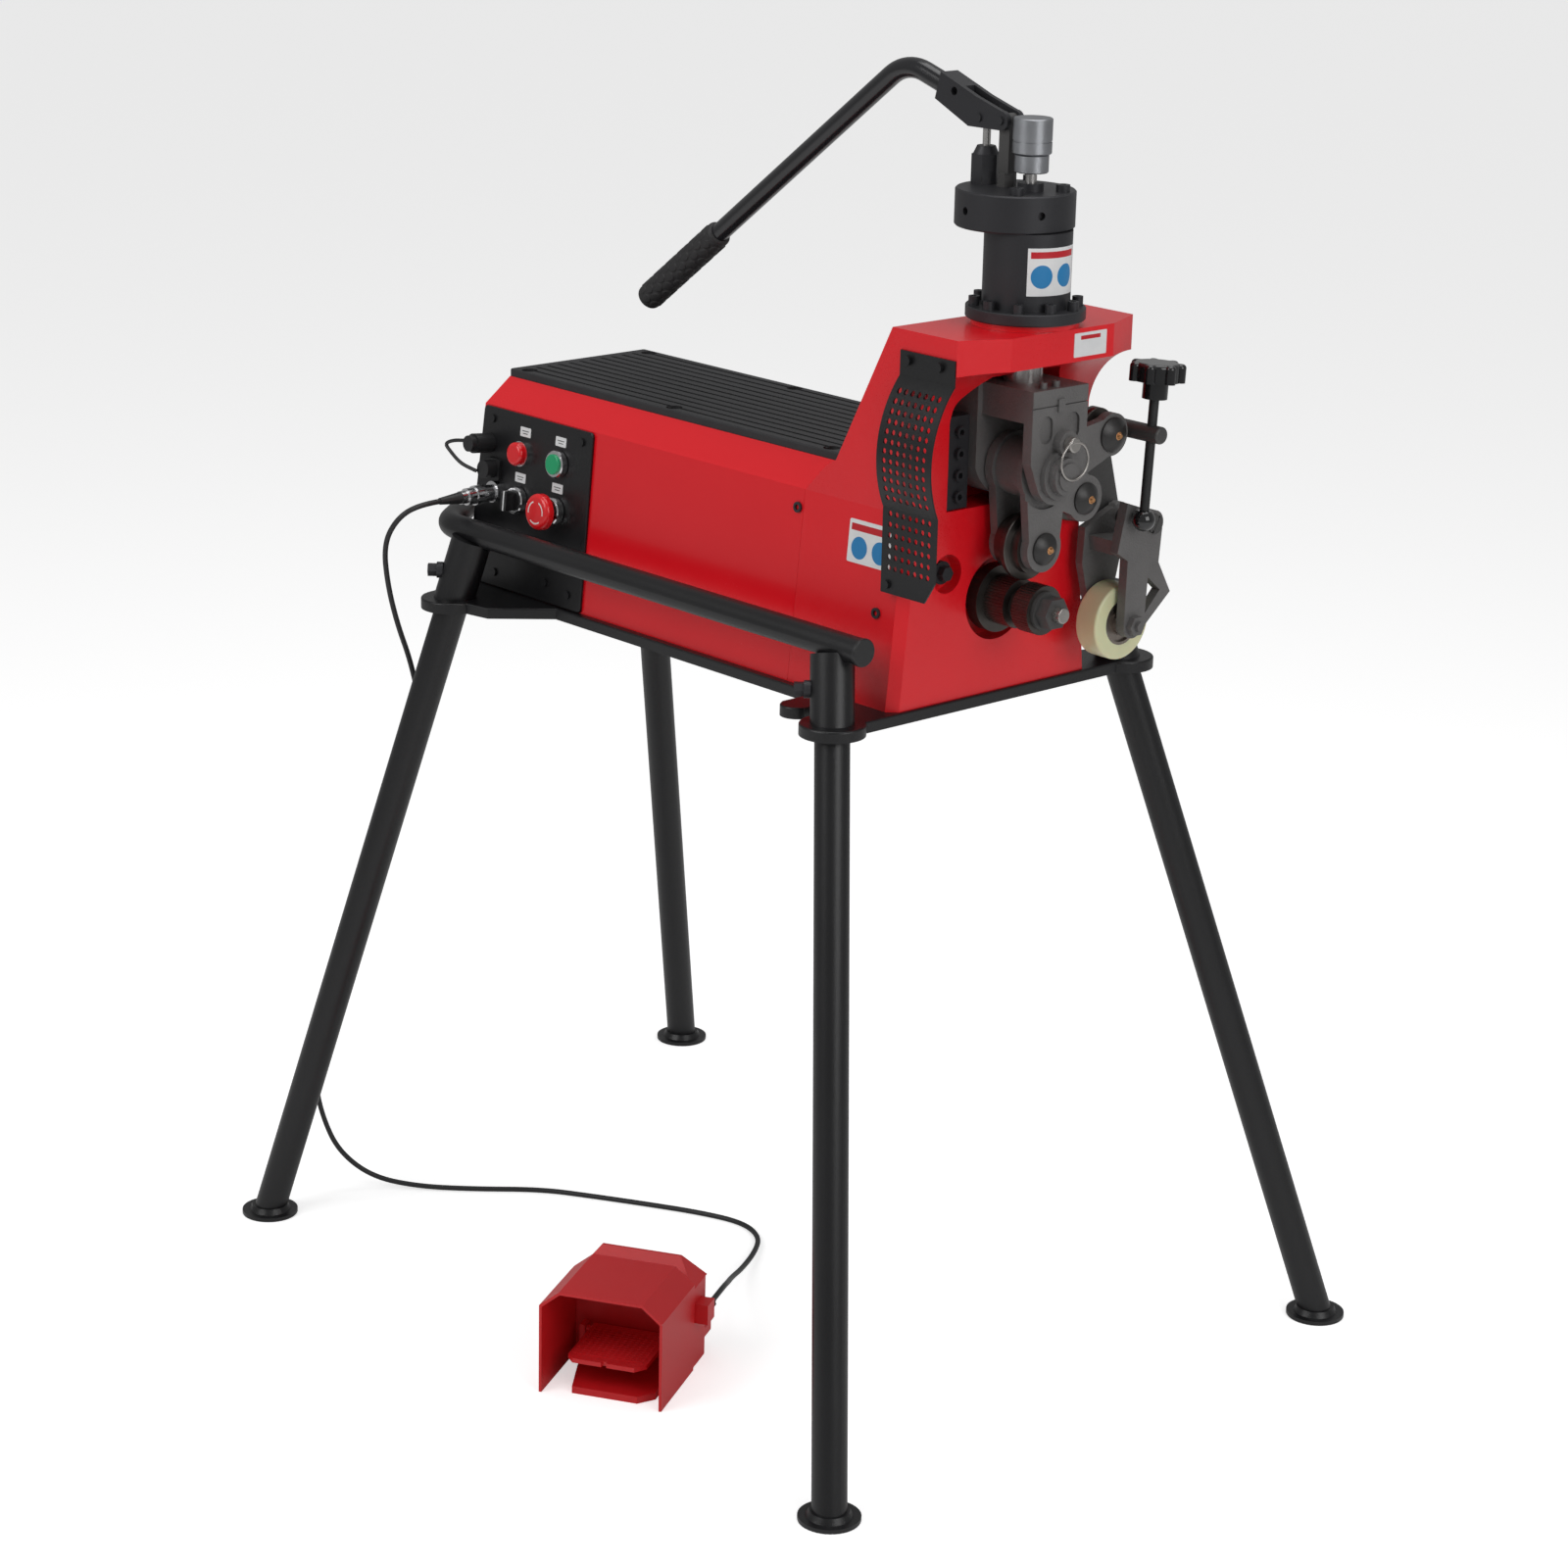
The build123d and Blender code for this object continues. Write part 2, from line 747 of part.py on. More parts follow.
with BuildPart() as drive_nut:
    with BuildSketch(Plane.YZ.offset(roll_end)):
        with Locations((0, drive_z)):
            Circle(20)
            Circle(shaft_r + seat_gap, mode=Mode.SUBTRACT)
    extrude(amount=4)
    with BuildSketch(Plane.YZ.offset(roll_end + 4)):
        with Locations((0, drive_z)):
            RegularPolygon(15, 6, major_radius=False)
            Circle(8 + seat_gap, mode=Mode.SUBTRACT)
    extrude(amount=14)
drive_nut.part.label = "drive_nut"
export_step(drive_nut.part, "parts/drive_nut.step")


# ---------------------------------------------------------------- ram, yoke and turret
with BuildPart() as yoke:
    # rear slide, rounded below
    with BuildSketch(Plane.YZ.offset(pocket_back + 6)):
        with BuildLine():
            Polyline(
                (-slide_half, pivot_z),
                (-slide_half, yoke_top),
                (slide_half, yoke_top),
                (slide_half, pivot_z),
            )
            ThreePointArc((slide_half, pivot_z), (0, pocket_low + 10.5), (-slide_half, pivot_z))
        make_face()
    extrude(amount=turret_back - 2 - pocket_back - 6)
    # bridge over the turret
    with BuildSketch(Plane.YZ.offset(turret_back - 2)):
        with Locations((0, (bridge_low + yoke_top) / 2)):
            Rectangle(2 * yoke_half, yoke_top - bridge_low)
    extrude(amount=yoke_front - turret_back + 2)
    # front slab
    with BuildSketch(Plane.YZ.offset(yoke_front - slab_t)):
        with BuildLine():
            Polyline(
                (-28, pivot_z - 12),
                (-yoke_half, pivot_z + 14),
                (-yoke_half, yoke_top),
                (yoke_half, yoke_top),
                (yoke_half, pivot_z + 14),
                (28, pivot_z - 12),
            )
            ThreePointArc((28, pivot_z - 12), (0, pivot_z - 31), (-28, pivot_z - 12))
        make_face()
    extrude(amount=slab_t)
    # joint line, key and the two arched recesses on the front
    with BuildSketch(Plane.YZ.offset(yoke_front)):
        with Locations((0, yoke_top - 17)):
            Rectangle(2 * yoke_half + 2, 1.2)
    extrude(amount=-2, mode=Mode.SUBTRACT)
    with BuildSketch(Plane.YZ.offset(yoke_front)):
        with Locations((-19, yoke_top - 40), (19, yoke_top - 40)):
            SlotOverall(28, 18, rotation=90)
    extrude(amount=-3, mode=Mode.SUBTRACT)
    with BuildSketch(Plane.YZ.offset(yoke_front - 1)):
        with Locations((0, yoke_top - 17)):
            Rectangle(9, 13)
    extrude(amount=3)
    # stepped boss over the pivot, and the boss of the index pin
    with BuildSketch(Plane.YZ.offset(yoke_front - 1)):
        with Locations((0, pivot_z)):
            Circle(25)
    extrude(amount=7)
    with BuildSketch(Plane.YZ.offset(yoke_front + 5)):
        with Locations((0, pivot_z)):
            Circle(19)
    extrude(amount=10)
    with BuildSketch(Plane.YZ.offset(yoke_front + 14)):
        with Locations((0, pivot_z)):
            Circle(14)
    extrude(amount=3)
    with BuildSketch(Plane.YZ.offset(yoke_front - 1)):
        with Locations((index_y, index_z)):
            Circle(13)
    extrude(amount=11)
    with BuildSketch(Plane.YZ.offset(yoke_front - slab_t - 1)):
        with Locations((index_y, index_z)):
            Circle(index_r + run_gap)
    extrude(amount=40, mode=Mode.SUBTRACT)
    # pivot pin of the turret
    with BuildSketch(Plane.YZ.offset(turret_back - 3)):
        with Locations((0, pivot_z)):
            Circle(pivot_r)
    extrude(amount=yoke_front - turret_back)
    # two set screws on top
    with BuildSketch(Plane.XY.offset(yoke_top)):
        with Locations((394, -16), (394, 2)):
            Circle(4)
            RegularPolygon(2.2, 6, mode=Mode.SUBTRACT)
    extrude(amount=6)
    with BuildSketch(Plane.XY.offset(yoke_top - 14)):
        with Locations((pump_x, 0)):
            Circle(ram_r - 8 + seat_gap)
    extrude(amount=20, mode=Mode.SUBTRACT)
yoke.part.label = "yoke"
export_step(yoke.part, "parts/yoke.step")

piston_low = 1172.0
with BuildPart() as ram:
    with BuildSketch(Plane.XZ):
        with BuildLine():
            Polyline(
                (0, yoke_top - 14),
                (ram_r - 8, yoke_top - 14),
                (ram_r - 8, yoke_top),
                (ram_r, yoke_top),
                (ram_r, piston_low),
                (cyl_bore_r - run_gap, piston_low),
                (cyl_bore_r - run_gap, piston_low + 24),
                (stem_r, piston_low + 24),
                (stem_r, stem_top),
                (0, stem_top),
                close=True,
            )
        make_face()
    revolve(axis=Axis.Z)
ram_solid = ram.part.moved(Location((pump_x, 0, 0)))
ram_solid.label = "ram"
export_step(ram_solid, "parts/ram.step")

with BuildPart() as turret:
    for x0 in (turret_back, turret_front - turret_plate_t):
        with BuildSketch(Plane.YZ.offset(x0)):
            with Locations((0, pivot_z)):
                Circle(hub_r + 4)
            for (dy, dz), lobe in ((lobe_a, lobe_r), (lobe_b, lobe_r), (lobe_c, wide_lobe_r)):
                reach = hypot(dy, dz)
                turn = atan2(dz, dy)
                with Locations((dy, pivot_z + dz)):
                    Circle(lobe)
                side = Vector(-sin(turn), cos(turn))
                with BuildLine():
                    Polyline(
                        (side.X * hub_r, pivot_z + side.Y * hub_r),
                        (dy + side.X * (lobe - 3), pivot_z + dz + side.Y * (lobe - 3)),
                        (dy - side.X * (lobe - 3), pivot_z + dz - side.Y * (lobe - 3)),
                        (-side.X * hub_r, pivot_z - side.Y * hub_r),
                        close=True,
                    )
                make_face()
        extrude(amount=turret_plate_t)
    with BuildSketch(Plane.YZ.offset(turret_back)):
        with Locations((0, pivot_z)):
            Circle(hub_r)
    extrude(amount=turret_front - turret_back)
    with BuildSketch(Plane.YZ.offset(turret_back - 1)):
        with Locations((0, pivot_z)):
            Circle(pivot_r + run_gap)
        with Locations(*[(p[0], pivot_z + p[1]) for p in (lobe_a, lobe_b, lobe_c)]):
            Circle(pin_r + seat_gap)
    extrude(amount=turret_front - turret_back + 2, mode=Mode.SUBTRACT)
    # arc groove that lets the index pin ride from station to station
    index_reach = hypot(index_y, index_z - pivot_z)
    with BuildSketch(Plane.YZ.offset(turret_front)):
        with Locations((0, pivot_z)):
            Circle(index_reach + index_r + 0.7)
            Circle(index_reach - index_r - 0.7, mode=Mode.SUBTRACT)
    extrude(amount=-3.0, mode=Mode.SUBTRACT)
turret.part.label = "turret"
export_step(turret.part, "parts/turret.step")

# pins that carry the upper rolls, each with a domed head and a grease nipple
with BuildPart() as roll_pins:
    for (dy, dz), dome in ((lobe_a, dome_a_r), (lobe_b, dome_a_r), (lobe_c, dome_c_r)):
        dome_x = turret_front
        with BuildSketch(Plane(origin=(0, dy, pivot_z + dz), x_dir=(1, 0, 0), z_dir=(0, -1, 0))):
            with BuildLine():
                Polyline(
                    (turret_back + 0.5, 0),
                    (turret_back + 0.5, pin_r),
                    (dome_x, pin_r),
                    (dome_x, dome),
                    (dome_x + 2, dome),
                )
                ThreePointArc((dome_x + 2, dome), (dome_x + 6.6, dome * 0.6), (dome_x + 9, 3.2))
                Polyline((dome_x + 9, 3.2), (dome_x + 11.5, 2.2), (dome_x + 11.5, 0), (turret_back + 0.5, 0))
            make_face()
        revolve(axis=Axis((0, dy, pivot_z + dz), (1, 0, 0)))
roll_pins.part.label = "roll_pins"
export_step(roll_pins.part, "parts/roll_pins.step")

roll_back = turret_back + turret_plate_t + 0.5
roll_front = turret_front - turret_plate_t - 0.5
for name, (dy, dz), radius in (
    ("upper_roll_a", lobe_a, roll_a_r),
    ("upper_roll_b", lobe_b, roll_b_r),
    ("upper_roll_c", lobe_c, roll_c_r),
):
    with BuildPart() as upper_roll:
        with BuildSketch(Plane.XZ):
            with BuildLine():
                Polyline(
                    (roll_back, pin_r + run_gap),
                    (roll_back, radius - roll_step),
                    (groove_x - ridge_w / 2 - 1, radius - roll_step),
                    (groove_x - ridge_w / 2, radius - 1),
                    (groove_x - ridge_w / 2 + 1, radius),
                    (groove_x + ridge_w / 2 - 1, radius),
                    (groove_x + ridge_w / 2, radius - 1),
                    (groove_x + ridge_w / 2 + 1, radius - roll_step),
                    (roll_front, radius - roll_step),
                    (roll_front, pin_r + run_gap),
                    close=True,
                )
            make_face()
        revolve(axis=Axis.X)
    roll_solid = upper_roll.part.moved(Location((0, dy, pivot_z + dz)))
    roll_solid.label = name
    export_step(roll_solid, f"parts/{name}.step")

# spring pin that locks the turret, with its pull ring
with BuildPart() as index_pin:
    with BuildSketch(Plane.YZ.offset(turret_front - 2)):
        with Locations((index_y, index_z)):
            Circle(index_r)
    extrude(amount=yoke_front + 13 - turret_front)
    with BuildSketch(Plane.YZ.offset(yoke_front + 10.4)):
        with Locations((index_y, index_z)):
            Circle(8)
    extrude(amount=9)
    fillet(index_pin.faces().sort_by(Axis.X)[-1].edges(), 2)
    with BuildSketch(Plane(origin=(yoke_front + 18.7, index_y + 19, index_z - 16), x_dir=(0, 1, 0), z_dir=(0, 0, 1))):
        Circle(1.3)
    revolve(axis=Axis((yoke_front + 18.7, index_y, index_z - 16), (1, 0, 0)))
index_pin.part.label = "index_pin"
export_step(index_pin.part, "parts/index_pin.step")


# ---------------------------------------------------------------- hydraulic pump
with BuildPart() as pump_flange:
    with BuildSketch(Plane.XY.offset(pad_top)):
        with Locations((pump_x, 0)):
            Circle(pump_flange_r)
            Circle(ram_r + run_gap, mode=Mode.SUBTRACT)
    extrude(amount=pump_flange_t)
    chamfer(pump_flange.edges().filter_by(GeomType.CIRCLE).sort_by(SortBy.RADIUS)[-2:], 1.0)
    with BuildSketch(Plane.XY.offset(flange_up)):
        with Locations((pump_x, 0)):
            with PolarLocations(pump_flange_r - 8, 10, start_angle=18):
                Circle(5.5)
                RegularPolygon(3.2, 6, mode=Mode.SUBTRACT)
    extrude(amount=9)
pump_flange.part.label = "pump_flange"
export_step(pump_flange.part, "parts/pump_flange.step")

with BuildPart() as pump_cylinder:
    with BuildSketch(Plane.XY.offset(flange_up)):
        with Locations((pump_x, 0)):
            Circle(cyl_r)
            Circle(cyl_bore_r, mode=Mode.SUBTRACT)
    extrude(amount=cyl_top - flange_up)
pump_cylinder.part.label = "pump_cylinder"
export_step(pump_cylinder.part, "parts/pump_cylinder.step")

stop_boss_h = 8.0
with BuildPart() as pump_head:
    with BuildSketch(Plane.XY.offset(cyl_top)):
        with Locations((pump_head_x, 0)):
            Circle(pump_head_r)
    extrude(amount=pump_head_top - cyl_top)
    chamfer(pump_head.edges().filter_by(GeomType.CIRCLE), 1.5)
    with BuildSketch(Plane.XY.offset(pump_head_top)):
        with Locations((pump_x, 0)):
            Circle(13)
    extrude(amount=stop_boss_h)
    with BuildSketch(Plane.XY.offset(cyl_top - 1)):
        with Locations((pump_x, 0)):
            Circle(stem_r + run_gap)
    extrude(amount=60, mode=Mode.SUBTRACT)
    with BuildSketch(Plane.XY.offset(pump_head_top - 26)):
        with Locations((gland_x, 0)):
            Circle(rod_r + 0.5)
    extrude(amount=40, mode=Mode.SUBTRACT)
    # plug screws round the head
    for turn in (-165, -100, -20, 70):
        out = Vector(cos(radians(turn)), sin(radians(turn)), 0)
        at = Vector(pump_head_x, 0, cyl_top + 18) + out * pump_head_r
        with BuildSketch(Plane(origin=tuple(at + out * 0.1), z_dir=tuple(out))):
            Circle(4)
        extrude(amount=-6, mode=Mode.SUBTRACT)
    with BuildSketch(Plane.XY.offset(pump_head_top)):
        with Locations((pump_head_x + 43, 22), (pump_head_x + 34, -34), (pump_head_x - 20, 40)):
            Circle(7)
            RegularPolygon(3.6, 6, mode=Mode.SUBTRACT)
    extrude(amount=7)
pump_head.part.label = "pump_head"
export_step(pump_head.part, "parts/pump_head.step")

with BuildPart() as plunger_gland:
    with BuildSketch(Plane.XY.offset(pump_head_top)):
        with Locations((gland_x, 0)):
            RegularPolygon(gland_af / 2, 6, major_radius=False)
    extrude(amount=gland_top - pump_head_top - 8)
    with BuildSketch(Plane.XY.offset(gland_top - 8)):
        with Locations((gland_x, 0)):
            Circle(gland_af / 2)
    extrude(amount=8, taper=25)
    with BuildSketch(Plane.XY.offset(pump_head_top - 1)):
        with Locations((gland_x, 0)):
            Circle(rod_r + run_gap)
    extrude(amount=60, mode=Mode.SUBTRACT)
plunger_gland.part.label = "plunger_gland"
export_step(plunger_gland.part, "parts/plunger_gland.step")

with BuildPart() as fulcrum_post:
    with BuildSketch(Plane.XY.offset(pump_head_top)):
        with Locations((post_x, 0)):
            RegularPolygon(8.5, 6, major_radius=False)
    extrude(amount=14)
    with BuildSketch(Plane.XZ):
        with BuildLine():
            Polyline(
                (post_x - 7, pump_head_top + 13),
                (post_x + 7, pump_head_top + 13),
                (post_x + 7, lever_pin_z),
            )
            ThreePointArc((post_x + 7, lever_pin_z), (post_x, lever_pin_z + 7), (post_x - 7, lever_pin_z))
            Line((post_x - 7, lever_pin_z), (post_x - 7, pump_head_top + 13))
        make_face()
    extrude(amount=6, both=True)
    with BuildSketch(Plane.XZ):
        with Locations((post_x, lever_pin_z)):
            Circle(lever_pin_r + run_gap)
    extrude(amount=20, both=True, mode=Mode.SUBTRACT)
fulcrum_post.part.label = "fulcrum_post"
export_step(fulcrum_post.part, "parts/fulcrum_post.step")

# plunger rod, with a slotted eye for the lever's pin
plunger_pin_x = gland_x
with BuildPart() as pump_plunger:
    with BuildSketch(Plane.XY.offset(pump_head_top - 24)):
        with Locations((gland_x, 0)):
            Circle(rod_r)
    extrude(amount=lever_pin_z - 10 - pump_head_top + 24)
    with BuildSketch(Plane.XZ):
        with Locations((plunger_pin_x, lever_pin_z)):
            RectangleRounded(22, 22, 6)
            SlotOverall(17, 9.4, mode=Mode.SUBTRACT)
    extrude(amount=5, both=True)
pump_plunger.part.label = "pump_plunger"
export_step(pump_plunger.part, "parts/pump_plunger.step")

tube_corner = (171.0, 1371.0)
tube_end = (-228.0, 1071.0)
tube_start = (258.0, 1346.0)
with BuildPart() as lever_head:
    with BuildSketch(Plane.XZ):
        with BuildLine():
            Polyline(
                (post_x, lever_pin_z - 9.5),
                (272, lever_pin_z - 10),
                (224, lever_pin_z + 12),
                (231, lever_pin_z + 39),
                (282, lever_pin_z + 20),
                (post_x, lever_pin_z + 9.5),
            )
            ThreePointArc(
                (post_x, lever_pin_z + 9.5), (post_x + 9.5, lever_pin_z), (post_x, lever_pin_z - 9.5)
            )
        make_face()
    extrude(amount=lever_half, both=True)
    # fork slot over the post and the plunger
    with BuildSketch(Plane.XZ):
        with Locations((post_x - 17, lever_pin_z)):
            Rectangle(78, 60)
    extrude(amount=6.6, both=True, mode=Mode.SUBTRACT)
    with BuildSketch(Plane.XZ):
        with Locations((post_x, lever_pin_z), (plunger_pin_x, lever_pin_z)):
            Circle(lever_pin_r)
    extrude(amount=lever_half + 2, both=True)
    with BuildSketch(Plane.XZ):
        with Locations((251, 1350)):
            Circle(4.2)
    extrude(amount=lever_half + 2, both=True, mode=Mode.SUBTRACT)
lever_head.part.label = "lever_head"
export_step(lever_head.part, "parts/lever_head.step")

tube_lean = Vector(tube_corner[0] - tube_start[0], 0, tube_corner[1] - tube_start[1]).normalized()
tube_in = Vector(228.5, 0, lever_pin_z + 25)
with BuildPart() as handle_tube:
    with BuildLine() as handle_line:
        FilletPolyline(
            tuple(tube_in),
            (tube_corner[0], 0, tube_corner[1]),
            (tube_end[0] + 20, 0, tube_end[1] + 15),
            radius=55,
        )
    with BuildSketch(Plane(handle_line.line @ 0, z_dir=handle_line.line % 0)):
        Circle(tube_r)
    sweep()
    add(lever_head.part, mode=Mode.SUBTRACT)
handle_tube.part.label = "handle_tube"
export_step(handle_tube.part, "parts/handle_tube.step")

grip_way = Vector(tube_end[0] - tube_corner[0], 0, tube_end[1] - tube_corner[1]).normalized()
grip_plane = Plane(origin=(tube_end[0], 0, tube_end[1]), z_dir=tuple(grip_way * -1))
with BuildPart() as handle_grip:
    with BuildSketch(grip_plane):
        Circle(grip_r)
    extrude(amount=148)
    fillet(handle_grip.edges().filter_by(GeomType.CIRCLE), 4)
    add(handle_tube.part, mode=Mode.SUBTRACT)
handle_grip.part.label = "handle_grip"
export_step(handle_grip.part, "parts/handle_grip.step")

# depth stop: a knurled nut and its lock ring on the ram's stem
ring_low = 1281.0
nut_low = 1299.0
with BuildPart() as depth_nut:
    with BuildSketch(Plane.XY.offset(nut_low + 0.3)):
        with Locations((pump_x, 0)):
            Circle(19.5)
    extrude(amount=stem_top + 4 - nut_low)
    chamfer(depth_nut.edges().filter_by(GeomType.CIRCLE), 1.0)
    with BuildSketch(Plane.XY.offset(nut_low + 12)):
        with Locations((pump_x, 0)):
            Circle(30)
            Circle(18.7, mode=Mode.SUBTRACT)
    extrude(amount=1.6, mode=Mode.SUBTRACT)
    with BuildSketch(Plane.XY.offset(nut_low - 1)):
        with Locations((pump_x, 0)):
            Circle(stem_r + run_gap)
    extrude(amount=stem_top + 1 - nut_low + 0.2, mode=Mode.SUBTRACT)
depth_nut.part.label = "depth_nut"
export_step(depth_nut.part, "parts/depth_nut.step")

with BuildPart() as lock_ring:
    with BuildSketch(Plane.XY.offset(ring_low)):
        with Locations((pump_x, 0)):
            Circle(17)
            Circle(stem_r + run_gap, mode=Mode.SUBTRACT)
    extrude(amount=nut_low - ring_low)
    chamfer(lock_ring.edges().filter_by(GeomType.CIRCLE).sort_by(SortBy.RADIUS)[-2:], 1.0)
lock_ring.part.label = "lock_ring"
export_step(lock_ring.part, "parts/lock_ring.step")


# ---------------------------------------------------------------- pipe stabiliser
lean = Vector(0, spindle_lean, 1).normalized()
spindle_mid = Vector(spindle_x, spindle_y, spindle_z)
with BuildPart() as stabiliser_bracket:
    with BuildSketch(Plane.YZ.offset(head_front)):
        with BuildLine():
            Polyline(
                (88, 985),
                (spindle_y - 8, spindle_z + 11),
                (spindle_y + 12, spindle_z + 4),
                (swing_y + 14, swing_z + 4),
                (swing_y + 6, swing_z - 13),
                (swing_y - 12, swing_z - 9),
                (90, 915),
                close=True,
            )
        make_face()
        with Locations((spindle_y, spindle_z), (swing_y, swing_z)):
            Circle(14.5)
    extrude(amount=8)
    with BuildSketch(Plane.YZ.offset(head_front + 7)):
        with Locations((spindle_y, spindle_z)):
            Circle(trunnion_r)
    extrude(amount=spindle_x + 15 - head_front - 7)
    fillet(stabiliser_bracket.faces().sort_by(Axis.X)[-1].edges(), 2.5)
    with BuildSketch(Plane.YZ.offset(head_front + 7)):
        with Locations((swing_y, swing_z)):
            Circle(swing_pin_r)
    extrude(amount=arm_front + arm_front_t + 3 - head_front - 7)
    with BuildSketch(Plane.YZ.offset(arm_front + arm_front_t + 0.4)):
        with Locations((swing_y, swing_z)):
            Circle(10)
            Rectangle(20, 2.4, rotation=60, mode=Mode.SUBTRACT)
    extrude(amount=3)
    with BuildSketch(Plane(origin=tuple(spindle_mid - lean * 30), z_dir=tuple(lean))):
        Circle(spindle_r + run_gap)
    extrude(amount=60, mode=Mode.SUBTRACT)
stabiliser_bracket.part.label = "stabiliser_bracket"
export_step(stabiliser_bracket.part, "parts/stabiliser_bracket.step")

with BuildPart() as swing_arm:
    # rear cheek
    with BuildSketch(Plane.YZ.offset(arm_back)):
        with BuildLine():
            Polyline(
                (swing_y + 12, swing_z - 6),
                (wheel_y + 13, wheel_z),
                (wheel_y - 13, wheel_z),
                (101, 870),
                (103, 908),
                (swing_y - 10, swing_z + 10),
                close=True,
            )
        make_face()
        with Locations((swing_y, swing_z)):
            Circle(14)
        with Locations((wheel_y, wheel_z)):
            Circle(13)
    extrude(amount=arm_t)
    # front cheek with its triangular window
    with BuildSketch(Plane.YZ.offset(arm_front)):
        with BuildLine():
            Polyline(
                (114, 941),
                (swing_y - 4, swing_z + 14),
                (swing_y + 13, swing_z - 6),
                (swing_y + 10, 872),
                (swing_y + 30, 838),
                (wheel_y + 14, wheel_z - 6),
                (wheel_y - 14, wheel_z),
                (118, 880),
                (102, 890),
                close=True,
            )
        make_face()
        with Locations((swing_y, swing_z)):
            Circle(14)
        with Locations((wheel_y, wheel_z)):
            Circle(14)
        with BuildLine():
            Polyline((150, 858), (169, 842), (148, 820), close=True)
        make_face(mode=Mode.SUBTRACT)
    extrude(amount=arm_front_t)
    # web between the cheeks, over the wheel
    with BuildSketch(Plane.YZ.offset(arm_back)):
        with BuildLine():
            Polyline((112, 884), (swing_y + 8, 880), (swing_y + 10, 896), (108, 900), close=True)
        make_face()
    extrude(amount=arm_front + arm_front_t - arm_back - 2)
    with BuildSketch(Plane.YZ.offset(arm_back - 1)):
        with Locations((swing_y, swing_z)):
            Circle(swing_pin_r + run_gap)
    extrude(amount=100, mode=Mode.SUBTRACT)
    # stud that the spindle's foot acts on
    foot_mid = spindle_mid - lean * (spindle_z - 925)
    with BuildSketch(Plane.YZ.offset(arm_front + arm_front_t - 1)):
        with Locations((foot_mid.Y, foot_mid.Z)):
            Circle(2.5)
    extrude(amount=6)
    # axle of the wheel
    with BuildSketch(Plane.YZ.offset(arm_back + 0.5)):
        with Locations((wheel_y, wheel_z)):
            Circle(axle_r)
    extrude(amount=arm_front + arm_front_t - arm_back - 0.5)
    with BuildSketch(Plane.YZ.offset(arm_front + arm_front_t)):
        with Locations((wheel_y, wheel_z)):
            RegularPolygon(9.5, 6, major_radius=False)
    extrude(amount=7)
    with BuildSketch(Plane.YZ.offset(arm_front + arm_front_t + 6)):
        with Locations((wheel_y, wheel_z)):
            Circle(5)
    extrude(amount=5)
swing_arm.part.label = "swing_arm"
export_step(swing_arm.part, "parts/swing_arm.step")

with BuildPart() as wheel_hub:
    with BuildSketch(Plane.YZ.offset(wheel_back)):
        with Locations((wheel_y, wheel_z)):
            Circle(hub_wheel_r)
    extrude(amount=wheel_front - wheel_back)
    with BuildSketch(Plane.YZ.offset(wheel_front)):
        with Locations((wheel_y, wheel_z)):
            Circle(12)
    extrude(amount=3)
    with BuildSketch(Plane.YZ.offset(wheel_back - 1)):
        with Locations((wheel_y, wheel_z)):
            Circle(axle_r + run_gap)
    extrude(amount=60, mode=Mode.SUBTRACT)
    with BuildSketch(Plane.YZ.offset(wheel_front)):
        with Locations((wheel_y, wheel_z)):
            Circle(hub_wheel_r - 3)
            Circle(14, mode=Mode.SUBTRACT)
    extrude(amount=-3, mode=Mode.SUBTRACT)
wheel_hub.part.label = "wheel_hub"
export_step(wheel_hub.part, "parts/wheel_hub.step")

with BuildPart() as wheel_tyre:
    with BuildSketch(Plane.YZ.offset(wheel_back)):
        with Locations((wheel_y, wheel_z)):
            Circle(wheel_r)
            Circle(hub_wheel_r, mode=Mode.SUBTRACT)
    extrude(amount=wheel_front - wheel_back)
    fillet(wheel_tyre.edges().filter_by(GeomType.CIRCLE).sort_by(SortBy.RADIUS)[-2:], 3)
wheel_tyre.part.label = "wheel_tyre"
export_step(wheel_tyre.part, "parts/wheel_tyre.step")

with BuildPart() as spindle_foot:
    with BuildSketch(Plane(origin=tuple(foot_mid), x_dir=(1, 0, 0), z_dir=(0, -1, 0))):
        Circle(ball_r)
        Rectangle(4 * ball_r, 2 * ball_r, align=(Align.MAX, Align.CENTER), mode=Mode.SUBTRACT)
    revolve(axis=Axis(tuple(foot_mid), (0, 0, 1)))
    with BuildSketch(Plane(origin=tuple(foot_mid + lean * (ball_r - 2.5)), z_dir=tuple(lean))):
        Circle(20)
    extrude(amount=10, mode=Mode.SUBTRACT)
    with BuildSketch(Plane.YZ.offset(spindle_x - ball_r - 1)):
        with Locations((foot_mid.Y, foot_mid.Z)):
            Circle(5.5)
    extrude(amount=9, mode=Mode.SUBTRACT)
spindle_foot.part.label = "spindle_foot"
export_step(spindle_foot.part, "parts/spindle_foot.step")

spindle_base = foot_mid + lean * (ball_r - 2.2)
knob_low = 1050.0
with BuildPart() as stabiliser_spindle:
    with BuildSketch(Plane(origin=tuple(spindle_base), z_dir=tuple(lean))):
        Circle(spindle_r)
    extrude(amount=knob_low + 26 - spindle_base.Z)
stabiliser_spindle.part.label = "stabiliser_spindle"
export_step(stabiliser_spindle.part, "parts/stabiliser_spindle.step")

